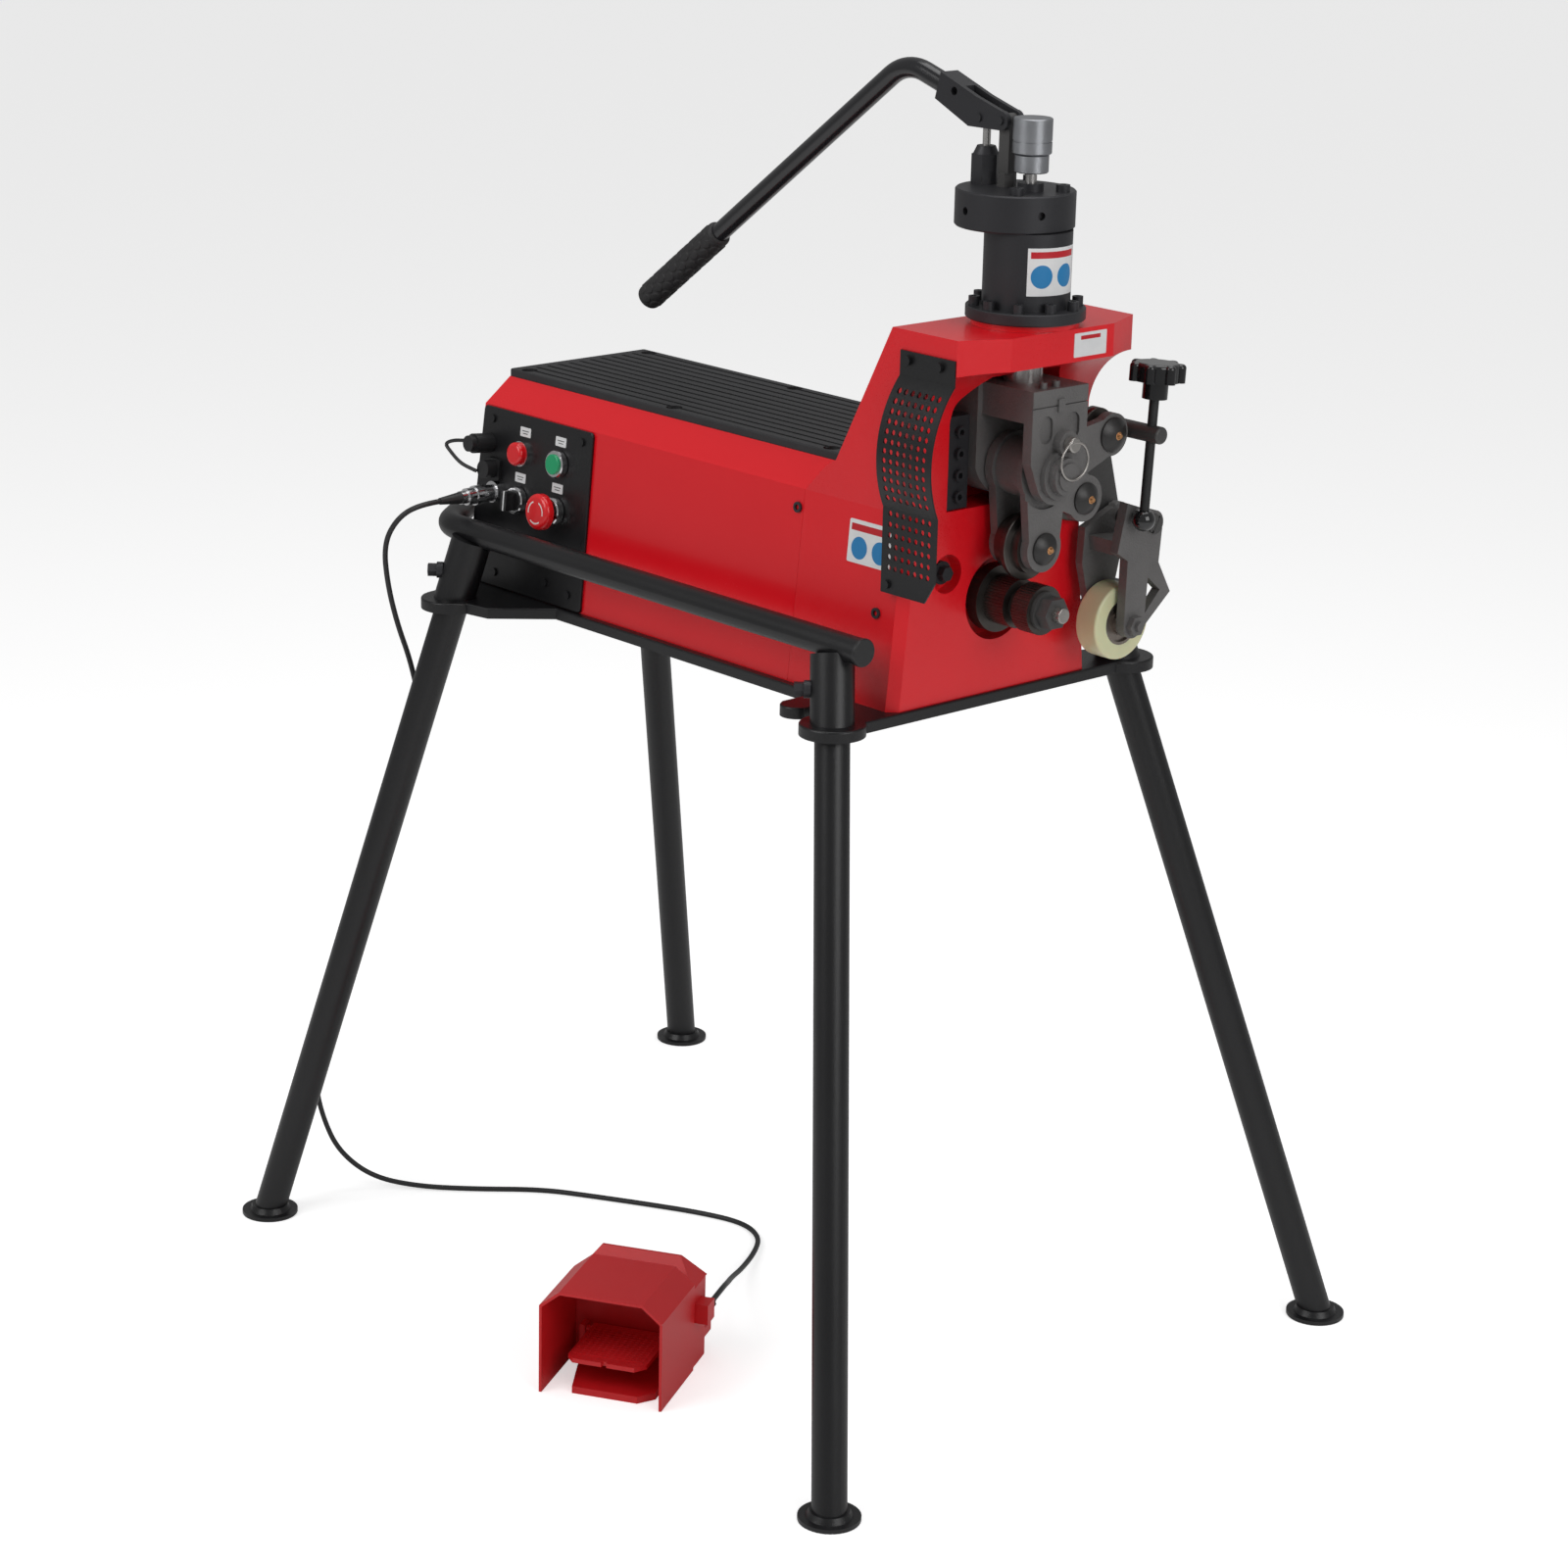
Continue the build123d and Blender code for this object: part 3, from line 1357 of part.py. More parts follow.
knob_at = spindle_mid + lean * (knob_low - spindle_z)
with BuildPart() as star_knob:
    with BuildSketch(Plane(origin=tuple(knob_at), z_dir=tuple(lean))):
        Circle(13)
    extrude(amount=19)
    with BuildSketch(Plane(origin=tuple(knob_at + lean * 18), z_dir=tuple(lean))):
        Circle(24)
        with PolarLocations(23.5, 7):
            Circle(5.8)
    extrude(amount=19)
    fillet(star_knob.faces().sort_by(Axis.Z)[-1].edges(), 4)
    with BuildSketch(Plane(origin=tuple(knob_at - lean * 1), z_dir=tuple(lean))):
        Circle(spindle_r + seat_gap)
    extrude(amount=27.6, mode=Mode.SUBTRACT)
star_knob.part.label = "star_knob"
export_step(star_knob.part, "parts/star_knob.step")


# ---------------------------------------------------------------- controls
face = 3.5


def on_panel(x, s, lift=0.0):
    """Plane on the panel's face at (x, s), lifted off it, facing out."""
    at = (panel_plane.location * Location((x, s, face + lift))).position
    return Plane(origin=tuple(at), x_dir=(1, 0, 0), z_dir=tuple(panel_plane.z_dir))


lamp_at = (-284, -44)
green_at = (-219, -44)
switch_at = (-284, -96)
stop_at = (-219, -96)

with BuildPart() as bezels:
    for at, outer, inner, tall in (
        (green_at, 15, 11.3, 9),
        (switch_at, 15, 11.3, 9),
        (stop_at, 15, 8.3, 10),
        (lamp_at, 14, 10.5, 5),
    ):
        with BuildSketch(on_panel(*at)):
            Circle(outer)
            Circle(inner, mode=Mode.SUBTRACT)
        extrude(amount=tall)
    chamfer(bezels.edges().filter_by(GeomType.CIRCLE).group_by(SortBy.RADIUS)[-1], 1.2)
bezels.part.label = "bezels"
export_step(bezels.part, "parts/bezels.step")

with BuildPart() as pilot_lamp:
    with BuildSketch(on_panel(*lamp_at)):
        Circle(10.4)
    extrude(amount=5)
    with BuildSketch(on_panel(*lamp_at, 5)):
        Circle(13)
    extrude(amount=9)
    fillet(pilot_lamp.edges().filter_by(GeomType.CIRCLE).sort_by(Axis.Y)[0], 4)
pilot_lamp.part.label = "pilot_lamp"
export_step(pilot_lamp.part, "parts/pilot_lamp.step")

with BuildPart() as start_button:
    with BuildSketch(on_panel(*green_at, 3.6)):
        Circle(11.2)
    extrude(amount=8)
    fillet(start_button.edges().filter_by(GeomType.CIRCLE).sort_by(Axis.Y)[0], 1.2)
start_button.part.label = "start_button"
export_step(start_button.part, "parts/start_button.step")

with BuildPart() as mode_switch:
    with BuildSketch(on_panel(*switch_at, 0.4)):
        Circle(11.2)
    extrude(amount=9)
    with BuildSketch(on_panel(*switch_at, 9.3)):
        RectangleRounded(10, 22, 3)
    extrude(amount=13)
mode_switch.part.label = "mode_switch"
export_step(mode_switch.part, "parts/mode_switch.step")

with BuildPart() as stop_stem:
    with BuildSketch(on_panel(*stop_at, 5)):
        Circle(8.2)
    extrude(amount=9)
    with BuildSketch(on_panel(*stop_at, 13)):
        Circle(5)
    extrude(amount=8)
stop_stem.part.label = "stop_stem"
export_step(stop_stem.part, "parts/stop_stem.step")

with BuildPart() as stop_mushroom:
    with BuildSketch(on_panel(*stop_at, 14.5)):
        Circle(14)
    extrude(amount=5)
    with BuildSketch(on_panel(*stop_at, 19)):
        Circle(20)
    extrude(amount=10)
    fillet(stop_mushroom.edges().filter_by(GeomType.CIRCLE).sort_by(Axis.Y)[0], 5)
    with BuildSketch(on_panel(*stop_at, 13)):
        Circle(5 + run_gap)
    extrude(amount=8.2, mode=Mode.SUBTRACT)
stop_mushroom.part.label = "stop_mushroom"
export_step(stop_mushroom.part, "parts/stop_mushroom.step")


# sockets at the left of the panel: a capped one, a plain one and the foot switch's
with BuildPart() as panel_sockets:
    with BuildSketch(on_panel(-343, -42)):
        Circle(11)
    extrude(amount=24)
    with BuildSketch(on_panel(-343, -42, 24)):
        Circle(9)
    extrude(amount=7)
    with BuildSketch(on_panel(-330, -69)):
        RectangleRounded(24, 24, 3)
    extrude(amount=4)
    with BuildSketch(on_panel(-330, -69, 4)):
        Circle(10)
    extrude(amount=14)
panel_sockets.part.label = "panel_sockets"
export_step(panel_sockets.part, "parts/panel_sockets.step")

plug_x = -325.0
plug_z = 853.0
plug_y = -(side_half(plug_z) + face)
with BuildPart() as foot_plug:
    with BuildSketch(on_panel(plug_x, (plug_z - crease_z) / panel_plane.y_dir.Z)):
        Circle(12)
    extrude(amount=7)
    with BuildSketch(Plane(origin=(plug_x, plug_y - 5, plug_z), x_dir=(1, 0, 0), z_dir=(0, -1, 0))):
        Circle(9.5)
    extrude(amount=38)
    with BuildSketch(Plane(origin=(plug_x, plug_y - 20, plug_z), x_dir=(1, 0, 0), z_dir=(0, -1, 0))):
        Circle(11)
    extrude(amount=12)
    with BuildSketch(Plane(origin=(plug_x, plug_y - 43, plug_z), x_dir=(1, 0, 0), z_dir=(0, -1, 0))):
        Circle(7.5)
    extrude(amount=8)
foot_plug.part.label = "foot_plug"
export_step(foot_plug.part, "parts/foot_plug.step")

relief_y = plug_y - 51
relief_len = 28.0
with BuildPart() as plug_relief:
    with BuildSketch(Plane(origin=(plug_x, relief_y, plug_z), x_dir=(1, 0, 0), z_dir=(0, -1, 0))):
        Circle(6.8)
    with BuildSketch(
        Plane(origin=(plug_x, relief_y - relief_len, plug_z), x_dir=(1, 0, 0), z_dir=(0, -1, 0))
    ):
        Circle(cable_r + 0.8)
    loft()


# ---------------------------------------------------------------- foot switch
pedal = Plane(
    origin=(pedal_x, pedal_y, 0),
    x_dir=(cos(radians(pedal_turn)), sin(radians(pedal_turn)), 0),
    z_dir=(0, 0, 1),
)
pedal_section = Plane(origin=pedal.origin, x_dir=pedal.x_dir, z_dir=(-pedal.y_dir))


def pedal_at(w, d, z):
    """Point of the foot switch: w across it, d back from its front, z up."""
    return (pedal.location * Location((w, d, z))).position


hood_cut = 22.0
with BuildPart() as pedal_hood:
    with BuildSketch(Plane(origin=tuple(pedal_at(0, 0, 0)), x_dir=tuple(pedal.x_dir), z_dir=tuple(-pedal.y_dir))):
        with BuildLine():
            Polyline(
                (0, 0),
                (0, hood_side_h),
                (hood_cut, hood_h),
                (hood_w - hood_cut, hood_h),
                (hood_w, hood_side_h),
                (hood_w, 0),
                (hood_w - hood_wall, 0),
                (hood_w - hood_wall, hood_side_h - 1.5),
                (hood_w - hood_cut - 1, hood_h - hood_wall),
                (hood_cut + 1, hood_h - hood_wall),
                (hood_wall, hood_side_h - 1.5),
                (hood_wall, 0),
                close=True,
            )
        make_face()
    extrude(amount=-hood_d)
pedal_hood.part.label = "pedal_hood"
export_step(pedal_hood.part, "parts/pedal_hood.step")

with BuildPart() as pedal_base:
    with BuildSketch(pedal):
        with BuildLine():
            Polyline((34, 9), (107, 9), (122, 25), (122, hood_d + 2), (15, hood_d + 2), (22, 58), close=True)
        make_face()
    extrude(amount=8)
    with BuildSketch(pedal):
        with Locations((hood_w / 2, hood_d + 24)):
            pedal_box = Rectangle(hood_w - 4, 47)
        fillet(pedal_box.vertices().group_by(Axis.Y)[-1], 6)
    extrude(amount=hood_side_h - 8)
    with BuildSketch(pedal.offset(hood_side_h - 8)):
        with Locations((hood_w / 2, hood_d + 24)):
            Rectangle(hood_w - 4, 47)
    extrude(amount=28, taper=38)
    with BuildSketch(pedal.offset(18)):
        with Locations((hood_w - 14, hood_d + 56), (14, hood_d + 56)):
            Rectangle(22, 22)
            Circle(4, mode=Mode.SUBTRACT)
    extrude(amount=10)
    with BuildSketch(pedal.offset(52)):
        with Locations((hood_w + 4.5, 122)):
            Rectangle(17, 22)
    extrude(amount=22)
    # hinge ears of the treadle
    with BuildSketch(pedal.offset(4)):
        with Locations((17, 92), (hood_w - 17, 92)):
            Rectangle(6, 14)
    extrude(amount=38)
    with BuildSketch(Plane(origin=tuple(pedal_at(0, 92, 36)), x_dir=tuple(pedal.y_dir), z_dir=tuple(pedal.x_dir))):
        Circle(3 + run_gap)
    extrude(amount=hood_w - 10, mode=Mode.SUBTRACT)
pedal_base.part.label = "pedal_base"
export_step(pedal_base.part, "parts/pedal_base.step")

with BuildPart() as treadle:
    with BuildSketch(pedal.offset(35)):
        with BuildLine():
            Polyline(
                (34, 10), (66, 10), (67, 14), (71, 14), (72, 10), (103, 10),
                (113, 22), (113, 99), (26, 99), (26, 19),
                close=True,
            )
        make_face()
    extrude(amount=5)
    with BuildSketch(pedal.offset(40)):
        for i in range(14):
            with Locations((hood_w / 2, 24 + 5 * i)):
                Rectangle(hood_w - 58, 2)
    extrude(amount=0.8)
    with BuildSketch(Plane(origin=tuple(pedal_at(14.5, 92, 36)), x_dir=tuple(pedal.y_dir), z_dir=tuple(pedal.x_dir))):
        Circle(3)
    extrude(amount=hood_w - 29)
treadle.part.label = "treadle"
export_step(treadle.part, "parts/treadle.step")

gland_w = hood_w + 5.5
gland_h = 63.0
with BuildPart() as cable_glands:
    with BuildSketch(
        Plane(origin=tuple(pedal_at(gland_w, 133, gland_h)), x_dir=tuple(pedal.x_dir), z_dir=tuple(pedal.y_dir))
    ):
        RegularPolygon(6.8, 6)
    extrude(amount=9)
    with BuildSketch(
        Plane(origin=tuple(pedal_at(gland_w, 142, gland_h)), x_dir=tuple(pedal.x_dir), z_dir=tuple(pedal.y_dir))
    ):
        Circle(5)
    extrude(amount=8, taper=10)
    # tapered relief on the plug
    add(plug_relief.part)
cable_glands.part.label = "cable_glands"
export_step(cable_glands.part, "parts/cable_glands.step")


# ---------------------------------------------------------------- foot switch cable
cable_end = pedal_at(gland_w, 150, gland_h)
cable_turn = pedal_at(gland_w, 190, gland_h)
tie_side = Vector(-0.737, 0.676, 0)
tie_reach = leg_r + cable_r + 0.3


def beside_leg(z):
    """Point on the cable where it lies along the left leg, at height z."""
    return tuple(leg_point(*legs["leg_left"], z) + tie_side * tie_reach)


cable_start = (plug_x, relief_y - relief_len, plug_z)
cable_points = [
    cable_start,
    (plug_x, relief_y - relief_len - 30, plug_z),
    (plug_x - 12, relief_y - relief_len - 50, plug_z - 15),
    (plug_x - 32, relief_y - relief_len - 53, plug_z - 47),
    (plug_x - 41, relief_y - relief_len - 42, plug_z - 95),
    (plug_x - 45, relief_y - relief_len - 26, plug_z - 145),
    (-372, -222, 662),
    beside_leg(610),
    beside_leg(205),
    (-446, -309, 148),
    (-456, -291, 96),
    (-458, -268, 48),
    (-438, -236, 14),
    (-400, -199, cable_r + 1),
    (-352, -150, cable_r),
    (-300, -88, cable_r),
    (-247, -54, cable_r),
    (-187, -18, cable_r),
    (-130, 14, cable_r),
    (-77, 34, cable_r),
    (-34, 22, cable_r + 0.5),
    (-2, -14, cable_r + 3),
    (30, -62, 11),
    (66, -110, 27),
    (104, -150, 46),
    tuple(cable_turn),
    tuple(cable_end),
]
cable_vectors = [Vector(*p) for p in cable_points]
cable_radii = []
for a, b, c in zip(cable_vectors, cable_vectors[1:], cable_vectors[2:]):
    turn = radians((b - a).get_angle(c - b))
    cable_radii.append(0.45 * min((b - a).length, (c - b).length) / tan(turn / 2))
cable_corners = list(zip(cable_vectors, cable_vectors[1:], cable_vectors[2:]))
print("cable turns", [round((b - a).get_angle(c - b), 1) for a, b, c in cable_corners])
print("cable runs", [round((b - a).length, 1) for a, b in zip(cable_vectors, cable_vectors[1:])])
print("cable radii", [round(r, 1) for r in cable_radii])
with BuildPart() as foot_cable:
    with BuildLine() as cable_line:
        FilletPolyline(*cable_points, radius=cable_radii)
    with BuildSketch(Plane(cable_line.line @ 0, z_dir=cable_line.line % 0)):
        Circle(cable_r)
    sweep(transition=Transition.RIGHT)
print("cable volume ratio", foot_cable.part.volume / (pi * cable_r**2 * cable_line.wires()[0].length))
print("cable points", [tuple(round(v, 2) for v in p) for p in cable_vectors])
foot_cable.part.label = "foot_cable"
export_step(foot_cable.part, "parts/foot_cable.step")

# saddle clips that hold the cable along the back of the leg
with BuildPart() as cable_ties:
    for z in (565, 250):
        plane = leg_plane("leg_left", z)
        across = plane.to_local_coords(Vector(*beside_leg(z)))
        way = Vector(across.X, across.Y, 0).normalized()
        side = Vector(-way.Y, way.X, 0)
        with BuildSketch(plane):
            with BuildLine():
                Polyline(
                    *[
                        (way.X * r + side.X * t, way.Y * r + side.Y * t)
                        for r, t in (
                            (leg_r - 3, 8.5),
                            (leg_r + 0.6, 8.5),
                            (tie_reach, cable_r + 1.4),
                            (tie_reach, -cable_r - 1.4),
                            (leg_r + 0.6, -8.5),
                            (leg_r - 3, -8.5),
                        )
                    ],
                    close=True,
                )
            make_face()
            with Locations((across.X, across.Y)):
                Circle(cable_r + 1.4)
            Circle(leg_r + 0.05, mode=Mode.SUBTRACT)
            with Locations((across.X, across.Y)):
                Circle(cable_r + 0.05, mode=Mode.SUBTRACT)
        extrude(amount=6)
cable_ties.part.label = "cable_ties"
export_step(cable_ties.part, "parts/cable_ties.step")

# plain plates over the controls and plain rating plates
with BuildPart() as label_plates:
    for at in ((-281, -19.5), (-219, -19.5), (-284, -71), (-219, -71)):
        with BuildSketch(on_panel(*at)):
            RectangleRounded(18, 10.5, 1)
        extrude(amount=0.6)
    with BuildSketch(on_panel(271, -38, -face)):
        RectangleRounded(62, 44, 2)
    extrude(amount=0.6)
    with BuildSketch(Plane.YZ.offset(flange_front)):
        with Locations((38, (flange_top + flange_low) / 2)):
            RectangleRounded(46, 24, 1)
    extrude(amount=0.6)
label_plates.part.label = "label_plates"
export_step(label_plates.part, "parts/label_plates.step")
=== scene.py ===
# %% [markdown]
# # A pipe roll grooving machine on its stand
# The machine squeezes a groove into the end of a steel pipe. A geared motor turns the knurled
# drive roll, and a hand pump pushes the upper roll down on the pipe. Its shapes and its moving
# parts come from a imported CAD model, which is loaded here as a fixed frame. What is left for
# Blender is the light, the finishes, the cable and the small moulded pieces.

import math

import bpy
import numpy as np
from mathutils import Matrix


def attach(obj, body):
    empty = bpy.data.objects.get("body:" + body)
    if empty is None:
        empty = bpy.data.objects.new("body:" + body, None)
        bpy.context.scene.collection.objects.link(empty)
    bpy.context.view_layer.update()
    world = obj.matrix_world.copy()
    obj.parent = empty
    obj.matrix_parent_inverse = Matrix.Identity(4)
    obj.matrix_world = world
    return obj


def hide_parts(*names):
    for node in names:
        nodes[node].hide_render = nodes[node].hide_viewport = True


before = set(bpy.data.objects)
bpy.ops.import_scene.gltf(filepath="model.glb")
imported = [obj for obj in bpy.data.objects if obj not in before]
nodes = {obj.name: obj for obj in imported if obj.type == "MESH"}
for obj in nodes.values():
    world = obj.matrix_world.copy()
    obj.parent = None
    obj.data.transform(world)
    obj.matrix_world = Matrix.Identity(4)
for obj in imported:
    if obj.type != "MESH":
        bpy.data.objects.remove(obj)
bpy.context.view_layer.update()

# %% [markdown]
# ## The camera
# A studio camera stands in front of the right-hand corner, a little above the pump, and looks
# down. It is placed by three angles and one point, so that each can be changed by itself. The
# sensor is 36 mm wide, and the long lens keeps the legs nearly parallel.

# %% Place the camera
lens_mm = 86.73
camera_place = (2.9325, -2.6786, 1.8132)
yaw, pitch, tilt = (math.radians(a) for a in (47.465, 17.441, 1.374))
back = np.array([math.sin(yaw) * math.cos(pitch), -math.cos(yaw) * math.cos(pitch), math.sin(pitch)])
level = np.array([math.cos(yaw), math.sin(yaw), 0.0])
raised = np.cross(back, level)
right = math.cos(tilt) * level + math.sin(tilt) * raised
up = -math.sin(tilt) * level + math.cos(tilt) * raised
camera_data = bpy.data.cameras.new("camera")
camera_data.lens = lens_mm
camera_data.sensor_width = 36.0
camera_data.clip_end = 50.0
camera = bpy.data.objects.new("camera", camera_data)
bpy.context.scene.collection.objects.link(camera)
camera.matrix_world = Matrix(
    [[*row, place] for row, place in zip(np.array([right, up, back]).T, camera_place)]
    + [[0, 0, 0, 1]]
)
bpy.context.scene.camera = camera
bpy.context.scene.view_settings.view_transform = "Standard"
print("lens", camera_data.lens, "mm")

# %% [markdown]
# ## Meshes from arrays
# Every new surface is a grid of points worked out in one go. The grid's rows and columns are
# joined into four-sided faces, and a row or column may close on itself, as round a tube.

# %% A grid of points becomes a mesh
finishes = {}


def surface(name, points, body, finish, round_u=False, round_v=False, flip=False):
    """Mesh of a (rows, columns, 3) array. Point (i, j) is joined to (i+1, j) and (i, j+1)."""
    rows, columns = points.shape[:2]
    index = np.arange(rows * columns).reshape(rows, columns)
    if round_u:
        index = np.vstack([index, index[:1]])
    if round_v:
        index = np.hstack([index, index[:, :1]])
    corners = [index[:-1, :-1], index[1:, :-1], index[1:, 1:], index[:-1, 1:]]
    if flip:
        corners = corners[::-1]
    faces = np.stack([c.ravel() for c in corners], axis=1)
    mesh = bpy.data.meshes.new(name)
    mesh.from_pydata(points.reshape(-1, 3), [], faces)
    mesh.validate()
    mesh.polygons.foreach_set("use_smooth", np.ones(len(mesh.polygons), bool))
    mesh.materials.append(finishes[finish])
    piece = bpy.data.objects.new(name, mesh)
    bpy.context.scene.collection.objects.link(piece)
    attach(piece, body)
    print(name, len(faces), "faces")
    return piece


def frame_along(path):
    """A level unit vector across each point of a path, and one across both it and the path."""
    ahead = np.gradient(path, axis=0)
    ahead /= np.linalg.norm(ahead, axis=1)[:, None]
    side = np.cross(ahead, [0.0, 0.0, 1.0])
    side /= np.linalg.norm(side, axis=1)[:, None]
    return side, np.cross(side, ahead)


# %% [markdown]
# ## Shader arithmetic
# A finish is easier to read as a sum than as a picture of wires. This small class wraps a
# socket, and writing a + b on two of them adds the Math node that does it.


# %% Sockets that can be added and multiplied
class Wire:
    """A shader socket that takes part in arithmetic with other sockets and with numbers."""

    def __init__(self, finish, socket):
        self.finish = finish
        self.socket = socket

    def _maths(self, operation, *values, clamp=False):
        return self.finish.add(
            "ShaderNodeMath", {"operation": operation, "use_clamp": clamp}, dict(enumerate(values))
        )

    def __add__(self, other):
        return self._maths("ADD", self, other)

    __radd__ = __add__

    def __mul__(self, other):
        return self._maths("MULTIPLY", self, other)

    __rmul__ = __mul__

    def __sub__(self, other):
        return self._maths("SUBTRACT", self, other)

    def __lt__(self, other):
        return self._maths("LESS_THAN", self, other)

    def __gt__(self, other):
        return self._maths("GREATER_THAN", self, other)

    def root(self):
        return self._maths("SQRT", self)

    def size(self):
        return self._maths("ABSOLUTE", self)

    def wave(self):
        return self._maths("SINE", self)

    def angle(self, across):
        return self._maths("ARCTAN2", self, across)

    def held(self):
        return self._maths("MULTIPLY", self, 1.0, clamp=True)


class Finish:
    """A material under construction: its Principled shader, its nodes and the piece's own place."""

    def __init__(self, name, **sockets):
        self.material = bpy.data.materials.new(name)
        self.material.use_nodes = True
        self.tree = self.material.node_tree
        self.shader = self.tree.nodes["Principled BSDF"]
        for socket, value in sockets.items():
            self.shader.inputs[socket.replace("_", " ").title().replace("Ior", "IOR")].default_value = value
        place = self.add("ShaderNodeTexCoord", out="Object")
        self.place = place
        split = self.add("ShaderNodeSeparateXYZ", {}, {0: place})
        self.x, self.y, self.z = (Wire(self, s) for s in split.socket.node.outputs)
        finishes[name] = self.material

    def add(self, kind, settings=None, sockets=None, out=0):
        """One node: its settings first, then the values or links of its sockets."""
        node = self.tree.nodes.new(kind)
        for key, value in (settings or {}).items():
            setattr(node, key, value)
        for key, value in (sockets or {}).items():
            if isinstance(value, Wire):
                self.tree.links.new(value.socket, node.inputs[key])
            else:
                node.inputs[key].default_value = value
        return Wire(self, node.outputs[out])

    def noise(self, scale, detail=2.0, rough=0.5):
        sockets = {"Vector": self.place, "Scale": scale, "Detail": detail, "Roughness": rough}
        return self.add("ShaderNodeTexNoise", {}, sockets)

    def cells(self, scale):
        return self.add("ShaderNodeTexVoronoi", {"feature": "SMOOTH_F1"}, {"Vector": self.place, "Scale": scale})

    def mix(self, amount, first, second):
        """A colour between two colours, by a number from 0 to 1."""
        first = first if isinstance(first, Wire) else (*first, 1.0)
        second = second if isinstance(second, Wire) else (*second, 1.0)
        return self.add("ShaderNodeMix", {"data_type": "RGBA"}, {0: amount, 6: first, 7: second}, out=2)

    def paint(self, colour=None, rough=None, metal=None, height=None, depth=0.0001):
        """Links the results to the shader: colour, roughness, metalness and a height for the bump."""
        if colour is not None:
            self.tree.links.new(colour.socket, self.shader.inputs["Base Color"])
        if rough is not None:
            self.tree.links.new(rough.held().socket, self.shader.inputs["Roughness"])
        if metal is not None:
            self.tree.links.new(metal.socket, self.shader.inputs["Metallic"])
        if height is not None:
            sockets = {"Strength": 1.0, "Distance": depth, "Height": height}
            bump = self.add("ShaderNodeBump", {}, sockets, out="Normal")
            self.tree.links.new(bump.socket, self.shader.inputs["Normal"])


# %% [markdown]
# ## Paint
# The body is enamelled over cast iron and sheet steel. Three things make enamel look real: a
# slight unevenness of colour, a soft orange-peel in the gloss, and the grain of the casting that
# shows through. Each is one noise at its own scale, from centimetres down to a millimetre.


# %% Enamel and powder coats
def coat(name, colour, rough, grain, peel, depth, shade=0.12, metal=0.0, clear=0.0):
    """Paint: its colour drifts by a broad noise, and its height is two fine noises added."""
    f = Finish(name, metallic=metal, coat_weight=clear, coat_roughness=0.12)
    broad = f.noise(9.0, 3.0)
    dark = tuple(c * (1 - shade) for c in colour)
    light = tuple(min(1.0, c * (1 + shade)) for c in colour)
    fine = f.noise(grain, 3.0, 0.6)
    f.paint(
        colour=f.mix(broad, dark, light),
        rough=(fine - 0.5) * 0.12 + (broad - 0.5) * 0.10 + rough,
        height=fine + f.noise(peel, 1.0) * 0.8,
        depth=depth,
    )
    return f


coat("red_enamel", (0.80, 0.006, 0.014), 0.30, 900.0, 160.0, 0.00016, shade=0.06, clear=0.25)
coat("red_sheet", (0.80, 0.006, 0.014), 0.24, 700.0, 90.0, 0.00006, shade=0.05, clear=0.35)
coat("black_powder", (0.007, 0.007, 0.008), 0.34, 1400.0, 500.0, 0.00010, shade=0.25)
coat("black_gloss", (0.010, 0.010, 0.012), 0.20, 600.0, 120.0, 0.00003, shade=0.2, clear=0.4)
coat("blued_steel", (0.034, 0.034, 0.038), 0.42, 1100.0, 300.0, 0.00006, shade=0.2, metal=0.35)
coat("red_moulding", (0.62, 0.012, 0.016), 0.40, 1500.0, 260.0, 0.00008, shade=0.08)
coat("black_moulding", (0.016, 0.016, 0.017), 0.38, 1600.0, 500.0, 0.00006, shade=0.2)
coat("knob_gloss", (0.008, 0.008, 0.009), 0.12, 300.0, 60.0, 0.00002, shade=0.2, clear=0.6)
print("coats", len(finishes))

# %% [markdown]
# ## Bare metal
# The turret and the yoke are raw castings with a dark phosphate skin: pitted, grey and a little
# metallic. The rolls are turned, so fine rings run round their axes. A ring is a sine wave of the
# distance from the axis, and a turned cylinder shows it as a wave along the axis instead.


# %% Castings and turned steel
def casting(name, colour, rough, pits, depth):
    """Raw casting: rounded pits from cells, broken up by noise, in a half-metallic grey."""
    f = Finish(name, metallic=0.45)
    pitted = f.cells(pits)
    fine = f.noise(pits * 2.2, 4.0, 0.7)
    broad = f.noise(22.0, 4.0, 0.6)
    dark = tuple(c * 0.70 for c in colour)
    light = tuple(c * 1.30 for c in colour)
    f.paint(
        colour=f.mix((broad * 0.7 + fine * 0.4).held(), dark, light),
        rough=(fine - 0.5) * 0.25 + rough,
        height=pitted * 0.9 + fine * 0.8,
        depth=depth,
    )
    return f


def turned(name, colour, rough, centre, along="x", pitch=0.0009, metal=0.9, stain=0.25, depth=0.00002):
    """Turned metal: a sine along the axis plus a sine of the distance from it, under oil stains."""
    f = Finish(name, metallic=metal)
    if along == "x":
        run, a, b = f.x, f.y - centre[1], f.z - centre[2]
    else:
        run, a, b = f.z, f.x - centre[0], f.y - centre[1]
    away = (a * a + b * b).root()
    rings = (run * (2 * math.pi / pitch)).wave() + (away * (2 * math.pi / pitch)).wave()
    cloud = f.noise(45.0, 4.0, 0.6)
    dark = tuple(c * (1 - stain) for c in colour)
    light = tuple(min(1.0, c * (1 + stain)) for c in colour)
    f.paint(
        colour=f.mix(cloud, dark, light),
        rough=(cloud - 0.5) * 0.25 + rough,
        height=rings * 0.5 + f.noise(1500.0) * 0.6,
        depth=depth,
    )
    return f


